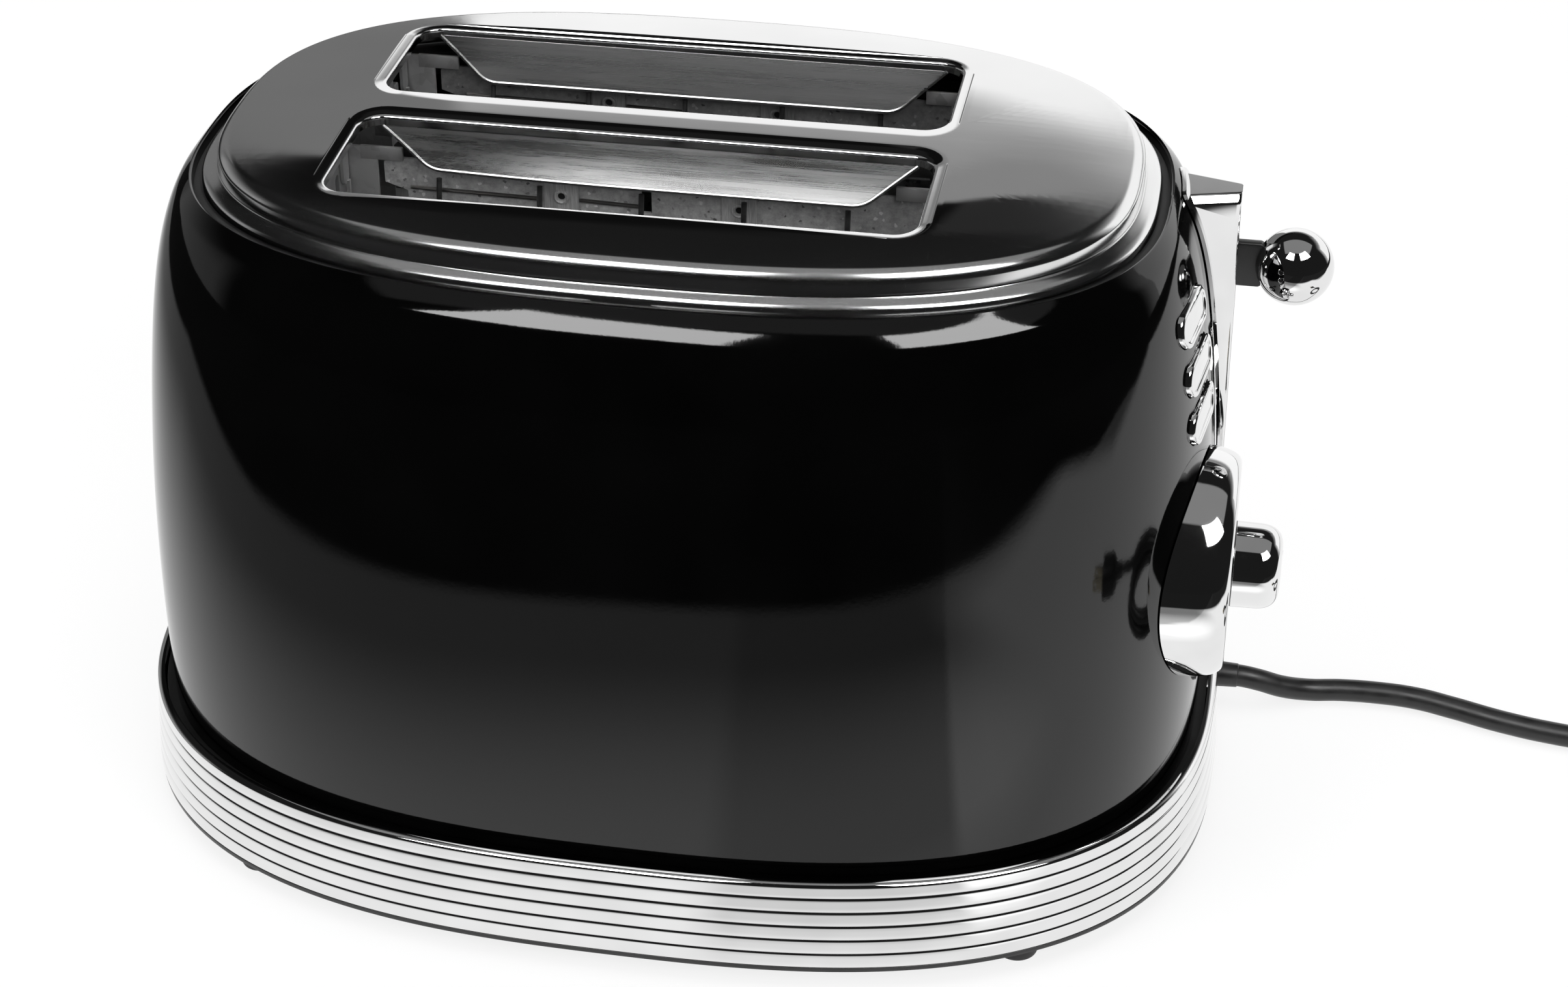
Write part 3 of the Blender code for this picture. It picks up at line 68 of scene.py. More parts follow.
view = {
    "place": (0.13957836, -0.65862933, 0.50629846),
    "right": (0.98202469, 0.18849985, -0.00976298),
    "up": (-0.09372317, 0.53185874, 0.84163071),
    "back": (0.16383979, -0.82558712, 0.53996522),
    "lens": 72.05,
    "shift": (0.0406, -0.0017),
}
cameraData = bpy.data.cameras.new("camera")
cameraData.lens, cameraData.sensor_width, cameraData.clip_start = view["lens"], 36.0, 0.01
cameraData.shift_x, cameraData.shift_y = view["shift"]
camera = newObject("camera", cameraData)
turned = Matrix((view["right"], view["up"], view["back"])).transposed().to_4x4()
camera.matrix_world = Matrix.Translation(Vector(view["place"]) + Vector((middleX, 0, 0))) @ turned
scene.camera = camera

# ---- node helpers, for materials and Geometry Nodes alike


class Wire:  # a node's output that takes arithmetic, each sum or product as one more node
    def __init__(self, socket):
        self.socket = socket

    def other(self, key):
        return Wire(self.socket.node.outputs[key])

    def __add__(self, value):
        return calc("ADD", self, value)

    def __sub__(self, value):
        return calc("SUBTRACT", self, value)

    def __rsub__(self, value):
        return calc("SUBTRACT", value, self)

    def __mul__(self, value):
        return calc("MULTIPLY", self, value)

    def __truediv__(self, value):
        return calc("DIVIDE", self, value)


def plug(node, inputs):
    for key, value in inputs.items():
        if isinstance(value, Wire):
            node.id_data.links.new(value.socket, node.inputs[key])
        elif value is not None:
            node.inputs[key].default_value = value


def add(tree, kind, *feeds, inputs={}, **settings):
    node = tree.nodes.new(kind)
    for key, value in settings.items():
        setattr(node, key, value)
    plug(node, dict(enumerate(feeds)) | inputs)
    return Wire(node.outputs[0]) if node.outputs else node


def calc(operation, *feeds):
    tree = next(feed.socket.id_data for feed in feeds if isinstance(feed, Wire))
    return add(tree, "ShaderNodeMath", *feeds, operation=operation)


def ramp(value, fromLow, fromHigh, toLow=0.0, toHigh=1.0, kind="LINEAR"):
    feeds = (value, fromLow, fromHigh, toLow, toHigh)
    return add(value.socket.id_data, "ShaderNodeMapRange", *feeds, interpolation_type=kind)


def smooth(value, fromLow, fromHigh, toLow=0.0, toHigh=1.0):
    return ramp(value, fromLow, fromHigh, toLow, toHigh, "SMOOTHSTEP")


def split(vector):
    first = add(vector.socket.id_data, "ShaderNodeSeparateXYZ", vector)
    return first, first.other(1), first.other(2)


# ---- materials, all on Object coordinates in metres


def tone(value):
    if isinstance(value, float):
        value = (value,) * 3
    return value if isinstance(value, Wire) else (*value, 1.0)


def blendColours(factor, dark, light):
    inputs = {0: factor, 6: tone(dark), 7: tone(light)}
    return add(factor.socket.id_data, "ShaderNodeMix", inputs=inputs, data_type="RGBA").other(2)


def newFinish(name, base, metal, rough, **more):
    material = bpy.data.materials.new(name)
    material.use_nodes = True
    shader = material.node_tree.nodes["Principled BSDF"]
    plug(shader, {"Base Color": tone(base), "Metallic": metal, "Roughness": rough})
    plug(shader, {key.replace("_", " "): value for key, value in more.items()})
    return material, material.node_tree, shader


def objectSpot(tree):
    return add(tree, "ShaderNodeTexCoord").other("Object")


def grain(tree, scale, detail=3.0, stretch=(1, 1, 1), rough=0.55):
    spot = add(tree, "ShaderNodeMapping", objectSpot(tree), None, None, stretch)
    return add(tree, "ShaderNodeTexNoise", spot, inputs={"Scale": scale, "Detail": detail, "Roughness": rough})


def flecks(tree, scale):
    return add(tree, "ShaderNodeTexVoronoi", objectSpot(tree), inputs={"Scale": scale}).other("Color")


def relief(shader, height, strength, distance):
    inputs = {"Strength": strength, "Distance": distance, "Height": height}
    plug(shader, {"Normal": add(shader.id_data, "ShaderNodeBump", inputs=inputs)})


def texture(shader, noise, colours, roughs):
    colour = blendColours(ramp(noise, 0.3, 0.7), *colours)
    plug(shader, {"Base Color": colour, "Roughness": ramp(noise, 0.3, 0.7, *roughs)})


def plainFinish(name, base, metal, rough, pattern, colours, roughs, bumps, strength, distance, **more):
    material, tree, shader = newFinish(name, base, metal, rough, **more)
    texture(shader, grain(tree, *pattern), colours, roughs)
    relief(shader, grain(tree, *bumps), strength, distance)
    return material


def makePolishedSteel():
    material, tree, shader = newFinish("polishedSteel", 0.78, 1.0, 0.03)
    patches = grain(tree, 22)
    colour = blendColours(ramp(patches, 0.3, 0.7), 0.75, 0.81)
    # rougher on the rolled edges below the flat
    edge = ramp(split(objectSpot(tree))[2], 0.1778, 0.1762, 0.0, 0.11)
    plug(shader, {"Base Color": colour, "Roughness": ramp(patches, 0.3, 0.7, 0.02, 0.045) + edge})
    relief(shader, grain(tree, 40, 2.0, (1, 3, 3)), 0.012, 0.0004)  # slight waves of the pressed sheet
    return material


def makeBrushedSteel():
    material, tree, shader = newFinish("brushedSteel", 0.5, 1.0, 0.28)
    wide, fine = grain(tree, 130, 3.0, (0.16, 3, 3)), grain(tree, 420, 4.0, (0.05, 30, 30), 0.6)
    texture(shader, wide * 0.55 + fine * 0.45, (0.34, 0.62), (0.2, 0.36))
    relief(shader, fine, 0.12, 0.00004)
    return material


def makeZinc():
    material, tree, shader = newFinish("zincPlate", 0.46, 0.85, 0.38)
    texture(shader, flecks(tree, 420.0) * 0.35 + grain(tree, 120), (0.38, 0.6), (0.3, 0.48))
    relief(shader, grain(tree, 1500), 0.12, 0.00006)
    return material


def makeMica(name, shade):
    material, tree, shader = newFinish(name, 0.4 * shade, 0.0, 0.5)
    flakes, cloud = flecks(tree, 1400.0), grain(tree, 420, 6.0, rough=0.75)
    ground = blendColours(ramp(cloud, 0.32, 0.68), 0.25 * shade, 0.5 * shade)
    ground = blendColours(ramp(flakes, 0.86, 0.92), ground, 0.1 * shade)
    ground = blendColours(ramp(flakes, 0.14, 0.08), ground, 0.66 * shade)
    plug(shader, {"Base Color": ground, "Roughness": ramp(cloud, 0.3, 0.7, 0.35, 0.6)})
    relief(shader, cloud, 0.25, 0.00015)
    return material


def makeTin(name, shade):
    fibres, colours = (700, 3.0, (6, 6, 0.4)), (0.48 * shade, 0.82 * shade)
    return plainFinish(name, 0.6 * shade, 0.55, 0.42, fibres, colours, (0.34, 0.5), fibres, 0.2, 0.00005)


def makeCircuit():
    material, tree, shader = newFinish("circuitBoard", (0.03, 0.13, 0.05), 0.0, 0.3, Coat_Weight=0.5)
    spot = add(tree, "ShaderNodeMapping", objectSpot(tree), None, (0, math.pi / 2, 0))
    bricks = {"Scale": 160.0, "Mortar Size": 0.05, "Mortar Smooth": 0.1}
    tracks = add(tree, "ShaderNodeTexBrick", spot, inputs=bricks).other("Fac")
    patchy = tracks * ramp(grain(tree, 90), 0.48, 0.52)
    colour = blendColours(patchy, (0.02, 0.1, 0.035), (0.1, 0.3, 0.12))
    plug(shader, {"Base Color": colour, "Roughness": ramp(patchy, 0, 1, 0.36, 0.22)})
    relief(shader, patchy, 0.3, 0.0001)
    return material


# name, colour, metal, roughness, pattern, its colours and roughnesses, bumps with their strength and distance
enamel = plainFinish(  # slow drift of the gloss from wiping, and a faint orange peel
    "blackEnamel", 0.0006, 0.0, 0.05, (35, 2.0), (0.0004, 0.0009), (0.03, 0.065), (900, 2.0), 0.035, 0.0001, IOR=1.5
)
steel = makePolishedSteel()
brushed = makeBrushedSteel()
chrome = plainFinish(
    "brightChrome", 0.8, 1.0, 0.03, (60, 2.0), (0.77, 0.84), (0.02, 0.05), (250, 1.0), 0.02, 0.00008
)
zinc = makeZinc()
wireSteel = plainFinish(
    "sootyWire", 0.1, 0.9, 0.4, (260, 4.0), (0.06, 0.17), (0.32, 0.5), (1400,), 0.12, 0.00005
)
mica = makeMica("micaBoard", 0.9)
shadedMica = makeMica("micaPaintedShade", 0.36)  # painted shade: a darker copy of the mica for the back slot, which gets less light
tin = makeTin("brightTin", 1.0)
# painted shade: a darker copy of the tin for the back slot's clips
shadedTin = makeTin("shadedTin", 0.42)
plastic = plainFinish(
    "blackPlastic", 0.012, 0.0, 0.32, (70,), (0.009, 0.017), (0.26, 0.4), (1800, 2.0), 0.12, 0.00008
)
rubber = plainFinish(
    "softRubber", 0.017, 0.0, 0.6, (140, 5.0), (0.012, 0.026), (0.5, 0.7), (2200,), 0.2, 0.0001
)
cordFlex = plainFinish(
    "cordFlex", 0.012, 0.0, 0.38, (220, 4.0), (0.009, 0.019), (0.3, 0.46), (1500,), 0.1, 0.00008
)
ribbon = plainFinish(  # temper colours along the ribbon
    "heaterRibbon", (0.3888, 0.36, 0.3312), 1.0, 0.34, (45, 3.0, (1, 1, 2.5)),
    ((0.15, 0.14, 0.135), (0.42, 0.41, 0.4)), (0.28, 0.45), (900, 3.0, (0.3, 1, 6)), 0.15, 0.00006,
)
copper = plainFinish(
    "varnishedCopper", (0.62, 0.3, 0.15), 1.0, 0.25, (300, 3.0, (1, 1, 8)),
    ((0.42, 0.17, 0.08), (0.72, 0.38, 0.2)), (0.2, 0.34), (1200,), 0.1, 0.00005, Coat_Weight=0.4,
)
circuit = makeCircuit()
brass = plainFinish(
    "platedBrass", (0.66, 0.6, 0.47), 1.0, 0.22, (160, 3.0, (1, 6, 1)),
    ((0.55, 0.49, 0.36), (0.74, 0.69, 0.56)), (0.16, 0.3), (900, 3.0, (1, 9, 1)), 0.12, 0.00005,
)
tickPaint = plainFinish(
    "tickPaint", 0.75, 0.0, 0.45, (500,), (0.66, 0.82), (0.4, 0.55), (2500,), 0.1, 0.00004
)
print("materials mixed")

# ---- the cord, on the route of its CAD solids

cordRoute = {
    "exit": (0.1413, 0.0366, 0.0085),
    "radius": 0.0030,
    "reliefEnd": 0.1410,
    # on from the end of the strain relief, sideways and up
    "run": (
        (0.0003, 0.0366, 0.0085), (0.0020, 0.0366, 0.0085), (0.0070, 0.0370, 0.0075), (0.0135, 0.0385, 0.0050),
        (0.0210, 0.0408, 0.0032), (0.0290, 0.0422, 0.0031), (0.0390, 0.0427, 0.0031), (0.0490, 0.0420, 0.0031),
        (0.0590, 0.0393, 0.0031), (0.0710, 0.0355, 0.0031), (0.0840, 0.0327, 0.0031), (0.0990, 0.0312, 0.0031),
        (0.1140, 0.0310, 0.0031), (0.1240, 0.0310, 0.0031),
    ),
    "tail": (
        (0.1712, -0.0190, 0.0088), (0.1700, -0.0280, 0.0070), (0.1685, -0.0370, 0.0068),
        (0.1676, -0.0450, 0.0080), (0.1673, -0.0505, 0.0085), (0.1673, -0.0522, 0.0085),
    ),
    "coilMiddle": (0.2760, -0.0055),
    "coilRadius": 0.0365,
    "coilPitch": 0.0065,
    "coilTurns": 3.25,
    "coilPoints": 24,
    "low": 0.0031,
}


def cordPoints(route):
    start, pitch, turns = route["reliefEnd"], route["coilPitch"], route["coilTurns"]
    points = [(start + x, y, z) for x, y, z in route["run"]]
    for step in range(round(turns * route["coilPoints"]) + 1):
        gone = step / route["coilPoints"]
        fromMiddle = gone - turns / 2
        radius = route["coilRadius"] - pitch * (turns / 2 - abs(fromMiddle))
        climb = min(max(fromMiddle * 2 + 0.5, 0.0), 1.0)
        angle = math.pi / 2 - 2 * math.pi * gone
        x, y = (middle + radius * part(angle) for middle, part in zip(route["coilMiddle"], (math.cos, math.sin)))
        points.append((x, y, route["low"] + pitch * climb * climb * (3 - 2 * climb)))
    return points + [(start + x, y, z) for x, y, z in route["tail"]]


def makeCord():
    points = cordPoints(cordRoute)
    data = bpy.data.curves.new("cord", "CURVE")
    data.dimensions = "3D"
    data.bevel_depth, data.bevel_resolution, data.resolution_u = cordRoute["radius"], 6, 6
    data.use_fill_caps = True
    spline = data.splines.new("BEZIER")
    spline.bezier_points.add(len(points) - 1)
    for point, spot in zip(spline.bezier_points, points):
        point.co = (spot[0] + middleX, spot[1], spot[2])
        point.handle_left_type = point.handle_right_type = "AUTO"
    data.materials.append(cordFlex)
    length = sum(math.dist(a, b) for a, b in zip(points, points[1:]))
    print("cord laid,", round(length, 3), "m")
    return newObject("cord", data), length


cord, cordLength = makeCord()

# ---- shape helpers


def newPiece(name, mesh, finish=None):
    if finish:
        mesh.materials.append(finish)
    return newObject(name, mesh)


def rework(mesh, change):
    work = bmesh.new()
    work.from_mesh(mesh)
    change(work)
    work.to_mesh(mesh)
    work.free()
    return mesh


def faceOut(work):
    bmesh.ops.recalc_face_normals(work, faces=work.faces)


def weld(work):
    bmesh.ops.remove_doubles(work, verts=work.verts, dist=0.000002)
    faceOut(work)


def cleanMesh(name, points, faces):
    mesh = bpy.data.meshes.new(name)
    mesh.from_pydata([tuple(point) for point in points], [], faces)
    return rework(mesh, weld)


def bake(piece):
    graph = bpy.context.evaluated_depsgraph_get()
    mesh = bpy.data.meshes.new_from_object(piece.evaluated_get(graph))
    piece.modifiers.clear()
    piece.data = mesh
    return piece


def modify(piece, kind, **settings):
    modifier = piece.modifiers.new(kind.title(), kind)
    for key, value in settings.items():
        setattr(modifier, key, value)
    return bake(piece)


def shade(piece, angle):
    piece.data.polygons.foreach_set("use_smooth", [True] * len(piece.data.polygons))
    piece.data.set_sharp_from_angle(angle=math.radians(angle))


def settle(piece, body, slot, *nodes, sharp=35):
    piece.data.transform(intoPlace)
    if sharp:
        shade(piece, sharp)
    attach(piece, body)
    if nodes:
        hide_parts(*nodes)
    return piece


def unite(piece, *others):
    def takeIn(work):
        for other in others:
            offset, before = len(piece.data.materials), len(work.faces)
            work.from_mesh(other.data)
            work.faces.ensure_lookup_table()
            for index in range(before, len(work.faces)):
                work.faces[index].material_index += offset
            for finish in other.data.materials:
                piece.data.materials.append(finish)
            bpy.data.objects.remove(other)

    rework(piece.data, takeIn)
    return piece


def carve(piece, *cutters, operation="DIFFERENCE"):
    for cutter in cutters:
        modify(piece, "BOOLEAN", object=cutter, operation=operation, solver="EXACT")
        bpy.data.objects.remove(cutter)
    return piece


def softEdges(piece, width, segments=3, angle=40):
    limits = {"limit_method": "ANGLE", "angle_limit": math.radians(angle), "harden_normals": False}
    return modify(piece, "BEVEL", width=width, segments=segments, **limits)


# a line through corners of (u, v, reach of the round)
def softLine(corners, steps=6):
    line = []
    for index, (u, v, reach) in enumerate(corners):
        if not reach or index in (0, len(corners) - 1):
            line.append((u, v))
            continue
        here = Vector((u, v))
        ends = []
        for other in (corners[index - 1], corners[index + 1]):
            away = Vector(other[:2]) - here
            ends.append(here + away.normalized() * min(reach, away.length * 0.49))
        for step in range(steps + 1):
            t = step / steps
            line.append(tuple(ends[0] * (1 - t) ** 2 + here * 2 * t * (1 - t) + ends[1] * t * t))
    return line


# a centripetal Catmull-Rom curve
def throughPoints(points, steps):
    points = np.array(points, float)
    ends = np.vstack([2 * points[0] - points[1], points, 2 * points[-1] - points[-2]])
    line = []
    for index in range(1, len(ends) - 2):
        four = ends[index - 1 : index + 3]
        knots = np.concatenate([[0], np.cumsum(np.linalg.norm(np.diff(four, axis=0), axis=1) ** 0.5)])
        for step in range(steps):
            t = knots[1] + (knots[2] - knots[1]) * step / steps
            layer = list(four)
            for level in (1, 2, 3):
                layer = [
                    (layer[i] * (knots[i + level] - t) + layer[i + 1] * (t - knots[i])) / (knots[i + level] - knots[i])
                    for i in range(4 - level)
                ]
            line.append(layer[0])
    return np.array([*line, points[-1]])


ovalPower = 2.63  # of the superellipse that the shell, the deck and the ring follow in plan


def unitOval(count):
    turn = np.linspace(0, math.pi / 2, 4001)
    across, along = np.cos(turn) ** (2 / ovalPower), np.sin(turn) ** (2 / ovalPower)
    along[0], across[-1] = 0.0, 0.0
    gone = np.concatenate([[0], np.cumsum(np.hypot(np.diff(across * 0.135), np.diff(along * 0.1)))])
    even = np.linspace(0, gone[-1], count // 4 + 1)
    quarter = np.column_stack([np.interp(even, gone, across), np.interp(even, gone, along)])
    half = np.vstack([quarter, quarter[:-1][::-1] * (-1, 1)])[:-1]
    return np.vstack([half, -half])


oval = unitOval(256)


def ovalRow(halfLength, halfWidth, height):
    return np.column_stack([oval[:, 0] * halfLength, oval[:, 1] * halfWidth, np.full(len(oval), height)])


def rowsMesh(name, rows, closed=False, capped=False):
    count, points, faces = len(rows[0]), np.vstack(rows), []
    for row in range(len(rows) if closed else len(rows) - 1):
        low, high = row * count, (row + 1) % len(rows) * count
        faces += [(low + i, low + (i + 1) % count, high + (i + 1) % count, high + i) for i in range(count)]
    if capped:
        faces += [list(range(count))[::-1], list(range(len(points) - count, len(points)))]
    return cleanMesh(name, points, faces)


def onAxis(axis, u, v, along):
    return {"X": (along, u, v), "Y": (u, along, v), "Z": (u, v, along)}[axis]


def circle(count, start=0.0, span=2 * math.pi):
    return [(math.cos(start + span * i / count), math.sin(start + span * i / count)) for i in range(count)]


def lathe(name, profile, middle, axis, finish, steps=64):
    rows = []
    for radius, along in profile:
        rows.append(np.array([onAxis(axis, radius * c, radius * s, along) for c, s in circle(steps)]) + middle)
    return newPiece(name, rowsMesh(name, rows, closed=profile[0][0] > 0 and profile[-1][0] > 0), finish)


def fillLoops(work, loops):
    edges = []
    for loop in loops:
        ring = [work.verts.new(tuple(point)) for point in loop]
        edges += [work.edges.new((ring[i], ring[(i + 1) % len(ring)])) for i in range(len(ring))]
    if len(loops) > 1:
        bmesh.ops.triangle_fill(work, use_beauty=True, use_dissolve=False, edges=edges)
    else:
        work.faces.new(list(work.verts))


def slab(name, outline, axis, low, high, finish, holes=()):
    def build(work):
        fillLoops(work, [[(u, v, 0.0) for u, v in loop] for loop in (outline, *holes)])
        for item in bmesh.ops.extrude_face_region(work, geom=list(work.faces))["geom"]:
            if isinstance(item, bmesh.types.BMVert):
                item.co.z = 1.0
        for vertex in work.verts:
            u, v, side = vertex.co
            vertex.co = onAxis(axis, u, v, high if side > 0.5 else low)
        faceOut(work)

    return newPiece(name, rework(bpy.data.meshes.new(name), build), finish)


def rectangle(lowU, lowV, highU, highV, corner=0.0, steps=5):
    if not corner:
        return [(lowU, lowV), (highU, lowV), (highU, highV), (lowU, highV)]
    points = []
    for u, v, start in ((highU, lowV, -90), (highU, highV, 0), (lowU, highV, 90), (lowU, lowV, 180)):
        insideU = u - corner if u == highU else u + corner
        insideV = v - corner if v == highV else v + corner
        for step in range(steps + 1):
            angle = math.radians(start + 90 * step / steps)
            points.append((insideU + corner * math.cos(angle), insideV + corner * math.sin(angle)))
    return points


def around(u, v, halfU, halfV, corner=0.0, steps=5):
    return rectangle(u - halfU, v - halfV, u + halfU, v + halfV, corner, steps)


def brick(name, low, high, finish, soft=0.0):
    piece = slab(name, rectangle(low[0], low[1], high[0], high[1]), "Z", low[2], high[2], finish)
    return softEdges(piece, soft, 2) if soft else piece


def tube(name, points, radius, finish, sides=12):
    points = [Vector(point) for point in points]
    rows = []
    side = None
    for index, point in enumerate(points):
        ahead = (points[min(index + 1, len(points) - 1)] - points[max(index - 1, 0)]).normalized()
        if side is None:
            side = ahead.orthogonal().normalized()
        side = (side - ahead * side.dot(ahead)).normalized()
        other = ahead.cross(side)
        rows.append(np.array([point + (side * c + other * s) * radius for c, s in circle(sides)]))
    return newPiece(name, rowsMesh(name, rows, capped=True), finish)


# ---- Geometry Nodes helpers

socketKinds = {float: "Float", int: "Int", tuple: "Vector", bpy.types.Material: "Material", bpy.types.Object: "Object"}


def newTree(name, inputs):
    tree = bpy.data.node_groups.new(name, "GeometryNodeTree")
    for label, value in inputs.items():
        kind = next(word for sort, word in socketKinds.items() if isinstance(value, sort))
        tree.interface.new_socket(label, in_out="INPUT", socket_type="NodeSocket" + kind)
    tree.interface.new_socket("Geometry", in_out="OUTPUT", socket_type="NodeSocketGeometry")
    first = add(tree, "NodeGroupInput")
    return tree, {label: first.other(label) for label in inputs}


def endTree(tree, geometry, finish):
    real = add(tree, "GeometryNodeRealizeInstances", geometry)
    add(tree, "NodeGroupOutput", add(tree, "GeometryNodeSetMaterial", real, None, finish))
    return tree


def grow(name, tree, inputs):
    piece = newPiece(name, bpy.data.meshes.new(name))
    modifier = piece.modifiers.new("grow", "NODES")
    modifier.node_group = tree
    for item in tree.interface.items_tree:
        if item.item_type == "SOCKET" and item.in_out == "INPUT":
            modifier[item.identifier] = inputs[item.name]
    return bake(piece)


def repeatTree():
    inputs = {"Piece": camera, "Start": (0.0,), "Step": (0.0,), "Count": 2, "Turn": (0.0,), "Finish": chrome}
    tree, feed = newTree("repeatAlongLine", inputs)
    inputs = {"Count": feed["Count"], "Start Location": feed["Start"], "Offset": feed["Step"]}
    line = add(tree, "GeometryNodeMeshLine", inputs=inputs, mode="OFFSET")
    source = add(tree, "GeometryNodeObjectInfo", feed["Piece"]).other("Geometry")
    spots = add(tree, "GeometryNodeInstanceOnPoints", line, inputs={"Instance": source})
    inputs = {"Scale": add(tree, "GeometryNodeInputIndex")}
    turn = add(tree, "ShaderNodeVectorMath", feed["Turn"], inputs=inputs, operation="SCALE")
    turned = add(tree, "GeometryNodeRotateInstances", spots, inputs={"Rotation": turn})
    return endTree(tree, turned, feed["Finish"])


repeater = repeatTree()


def repeat(name, source, start, step, count, finish, turn=(0.0, 0.0, 0.0)):
    inputs = {"Piece": source, "Start": start, "Step": step, "Count": count, "Turn": turn, "Finish": finish}
    piece = grow(name, repeater, inputs)
    bpy.data.objects.remove(source)
    return piece


# ---- chrome base ring: a grid bent round the oval, its ribs cut by a rule

baseRing = {
    "Half Length": 0.1387,
    "Half Width": 0.1008,
    "Foot": 0.0072,
    "Height": 0.0240,
    "Taper": 0.0016,
    "Groove": 0.00030,
    "Sharpness": 4.0,
    "Top Round": 0.0007,
    "Ribs": 6,
    "Rows a Rib": 16,
    "Columns": 384,
    "Wall": 0.0035,
    "Power": ovalPower,
    "Finish": chrome,
}


def ringTree():
    tree, feed = newTree("ribbedRing", baseRing)
    ribRows = feed["Ribs"] * feed["Rows a Rib"]
    rows = ribRows + 4.0
    grid = add(tree, "GeometryNodeMeshGrid", 1.0, 1.0, feed["Columns"], rows)
    x, y, z = split(add(tree, "GeometryNodeInputPosition"))
    row = calc("ROUND", (y + 0.5) * (rows - 1.0))
    share = calc("MINIMUM", row / ribRows, 1.0)
    past = row - ribRows  # 1 is the top's inner edge, 2 the foot's, 3 back where it began
    inner = calc("GREATER_THAN", past, 0.5) * calc("LESS_THAN", past, 2.5)
    last = calc("GREATER_THAN", past, 2.5)
    fromMiddle = calc("ABSOLUTE", calc("FRACT", share * (feed["Ribs"] * 0.99999)) * 2.0 - 1.0)
    edge = calc("MAXIMUM", share * 25.0 - 24.0, 0.0)  # the last of the height rolls in
    inset = calc("POWER", fromMiddle, feed["Sharpness"]) * feed["Groove"] + edge * edge * feed["Top Round"]
    inset = (inset + share * feed["Taper"]) * (1.0 - last) + last * feed["Groove"]
    inset = inset * (1.0 - inner) + inner * feed["Wall"]
    height = share * calc("LESS_THAN", past, 1.5) * feed["Height"] + feed["Foot"]
    place = []
    for operation, half in (("COSINE", "Half Length"), ("SINE", "Half Width")):
        wave = calc(operation, (x + 0.5) * (2 * math.pi))
        size = calc("POWER", calc("ABSOLUTE", wave), calc("DIVIDE", 2.0, feed["Power"]))
        place.append(size * calc("SIGN", wave) * (feed[half] - inset))
    moved = add(tree, "GeometryNodeSetPosition", grid, None, add(tree, "ShaderNodeCombineXYZ", *place, height))
    merged = add(tree, "GeometryNodeMergeByDistance", moved, inputs={"Distance": 0.000005})
    return endTree(tree, merged, feed["Finish"])


def mouseHole(name):
    cutters = []
    y, z = cordRoute["exit"][1:]
    # a pocket for the strain relief's flange, then the hole itself
    for radius, low, high in ((0.0059, 0.1177, 0.1203), (0.0048, 0.1195, 0.1407)):
        arch = [(y - radius, -0.002), (y + radius, -0.002)]
        arch += [(y + radius * math.cos(a), z + radius * math.sin(a)) for a in np.linspace(0, math.pi, 17)]
        cutters.append(slab(name, arch, "X", low, high, plastic))
    return cutters


crumbPan = {
    "halfLength": 0.0560, "near": -0.0560, "floor": 0.0083, "lip": 0.0085, "lipInset": 0.0016, "wall": 0.0010,
    "back": 0.0900, "far": 0.1010, "spare": 0.0003,
}


def backOpening(name, low):
    reach, top = crumbPan["halfLength"] + crumbPan["spare"], crumbPan["floor"] + crumbPan["lip"] + crumbPan["spare"]
    return brick(name, (-reach, 0.0520, low), (reach, 0.1030, top), plastic)


ring = grow("baseRing", ringTree(), baseRing)
rework(ring.data, faceOut)
carve(ring, *mouseHole("ringHole"), backOpening("ringOpening", -0.002))
settle(ring, "chassis", "chrome", "base_ring", sharp=38)
print("base ring ribbed,", len(ring.data.polygons), "faces")

# ---- black enamel shell, with its rolled rim

shellShape = {
    "halfLength": 0.1331,
    "halfWidth": 0.0949,
    "rimLength": 0.1171,
    "rimWidth": 0.0722,
    "foot": 0.0283,
    "height": 0.1397,
    "wall": 0.0010,
    "roll": 0.0007,
    # share of the height, and of the way in from the foot's outline to the rim's
    "draw": (
        (0.0, 0.012), (0.14, 0.0), (0.28, 0.012), (0.43, 0.06), (0.57, 0.145), (0.71, 0.265),
        (0.82, 0.400), (0.89, 0.530), (0.94, 0.670), (0.975, 0.820), (1.0, 1.0),
    ),
}


def shellRows(shape, steps=7):
    spread = shape["halfWidth"] - shape["rimWidth"]
    spots = [(draw * spread, share * shape["height"]) for share, draw in shape["draw"]]
    rows = []
    for drawn, up in throughPoints(spots, steps):
        length = shape["halfLength"] + (shape["rimLength"] - shape["halfLength"]) * drawn / spread
        rows.append((length, shape["halfWidth"] - drawn, shape["foot"] + up))
    return rows


shellProfile = shellRows(shellShape)


def shellAt(height):
    rows = shellProfile
    for low, high in zip(rows, rows[1:]):
        if low[2] <= height <= high[2]:
            share = (height - low[2]) / (high[2] - low[2])
            return low[0] + (high[0] - low[0]) * share, low[1] + (high[1] - low[1]) * share
    return rows[-1][:2] if height > rows[0][2] else rows[0][:2]


def shellX(y, z):
    length, width = shellAt(z)
    return length * (1 - abs(y / width) ** ovalPower) ** (1 / ovalPower)


def pill(middleY, middleZ, halfLength, halfHeight, spare=0.0, steps=12):
    radius = halfHeight + spare
    points = []
    for side, start in ((1, -90), (-1, 90)):
        for step in range(steps + 1):
            angle = math.radians(start + 180 * step / steps)
            y = middleY + side * (halfLength - halfHeight) + radius * math.cos(angle)
            points.append((y, middleZ + radius * math.sin(angle)))
    return points


controls = {
    "y": -0.0205, "buttonTop": 0.1490, "pitch": 0.0127, "halfLength": 0.0110, "halfHeight": 0.00425,
    "proud": 0.0013, "leverY": 0.0140, "leverZ": 0.1456, "travel": 0.0500, "bezelZ": 0.0822,
}
cutStart, cutEnd = 0.100, 0.145  # from inside the control end to clear of it


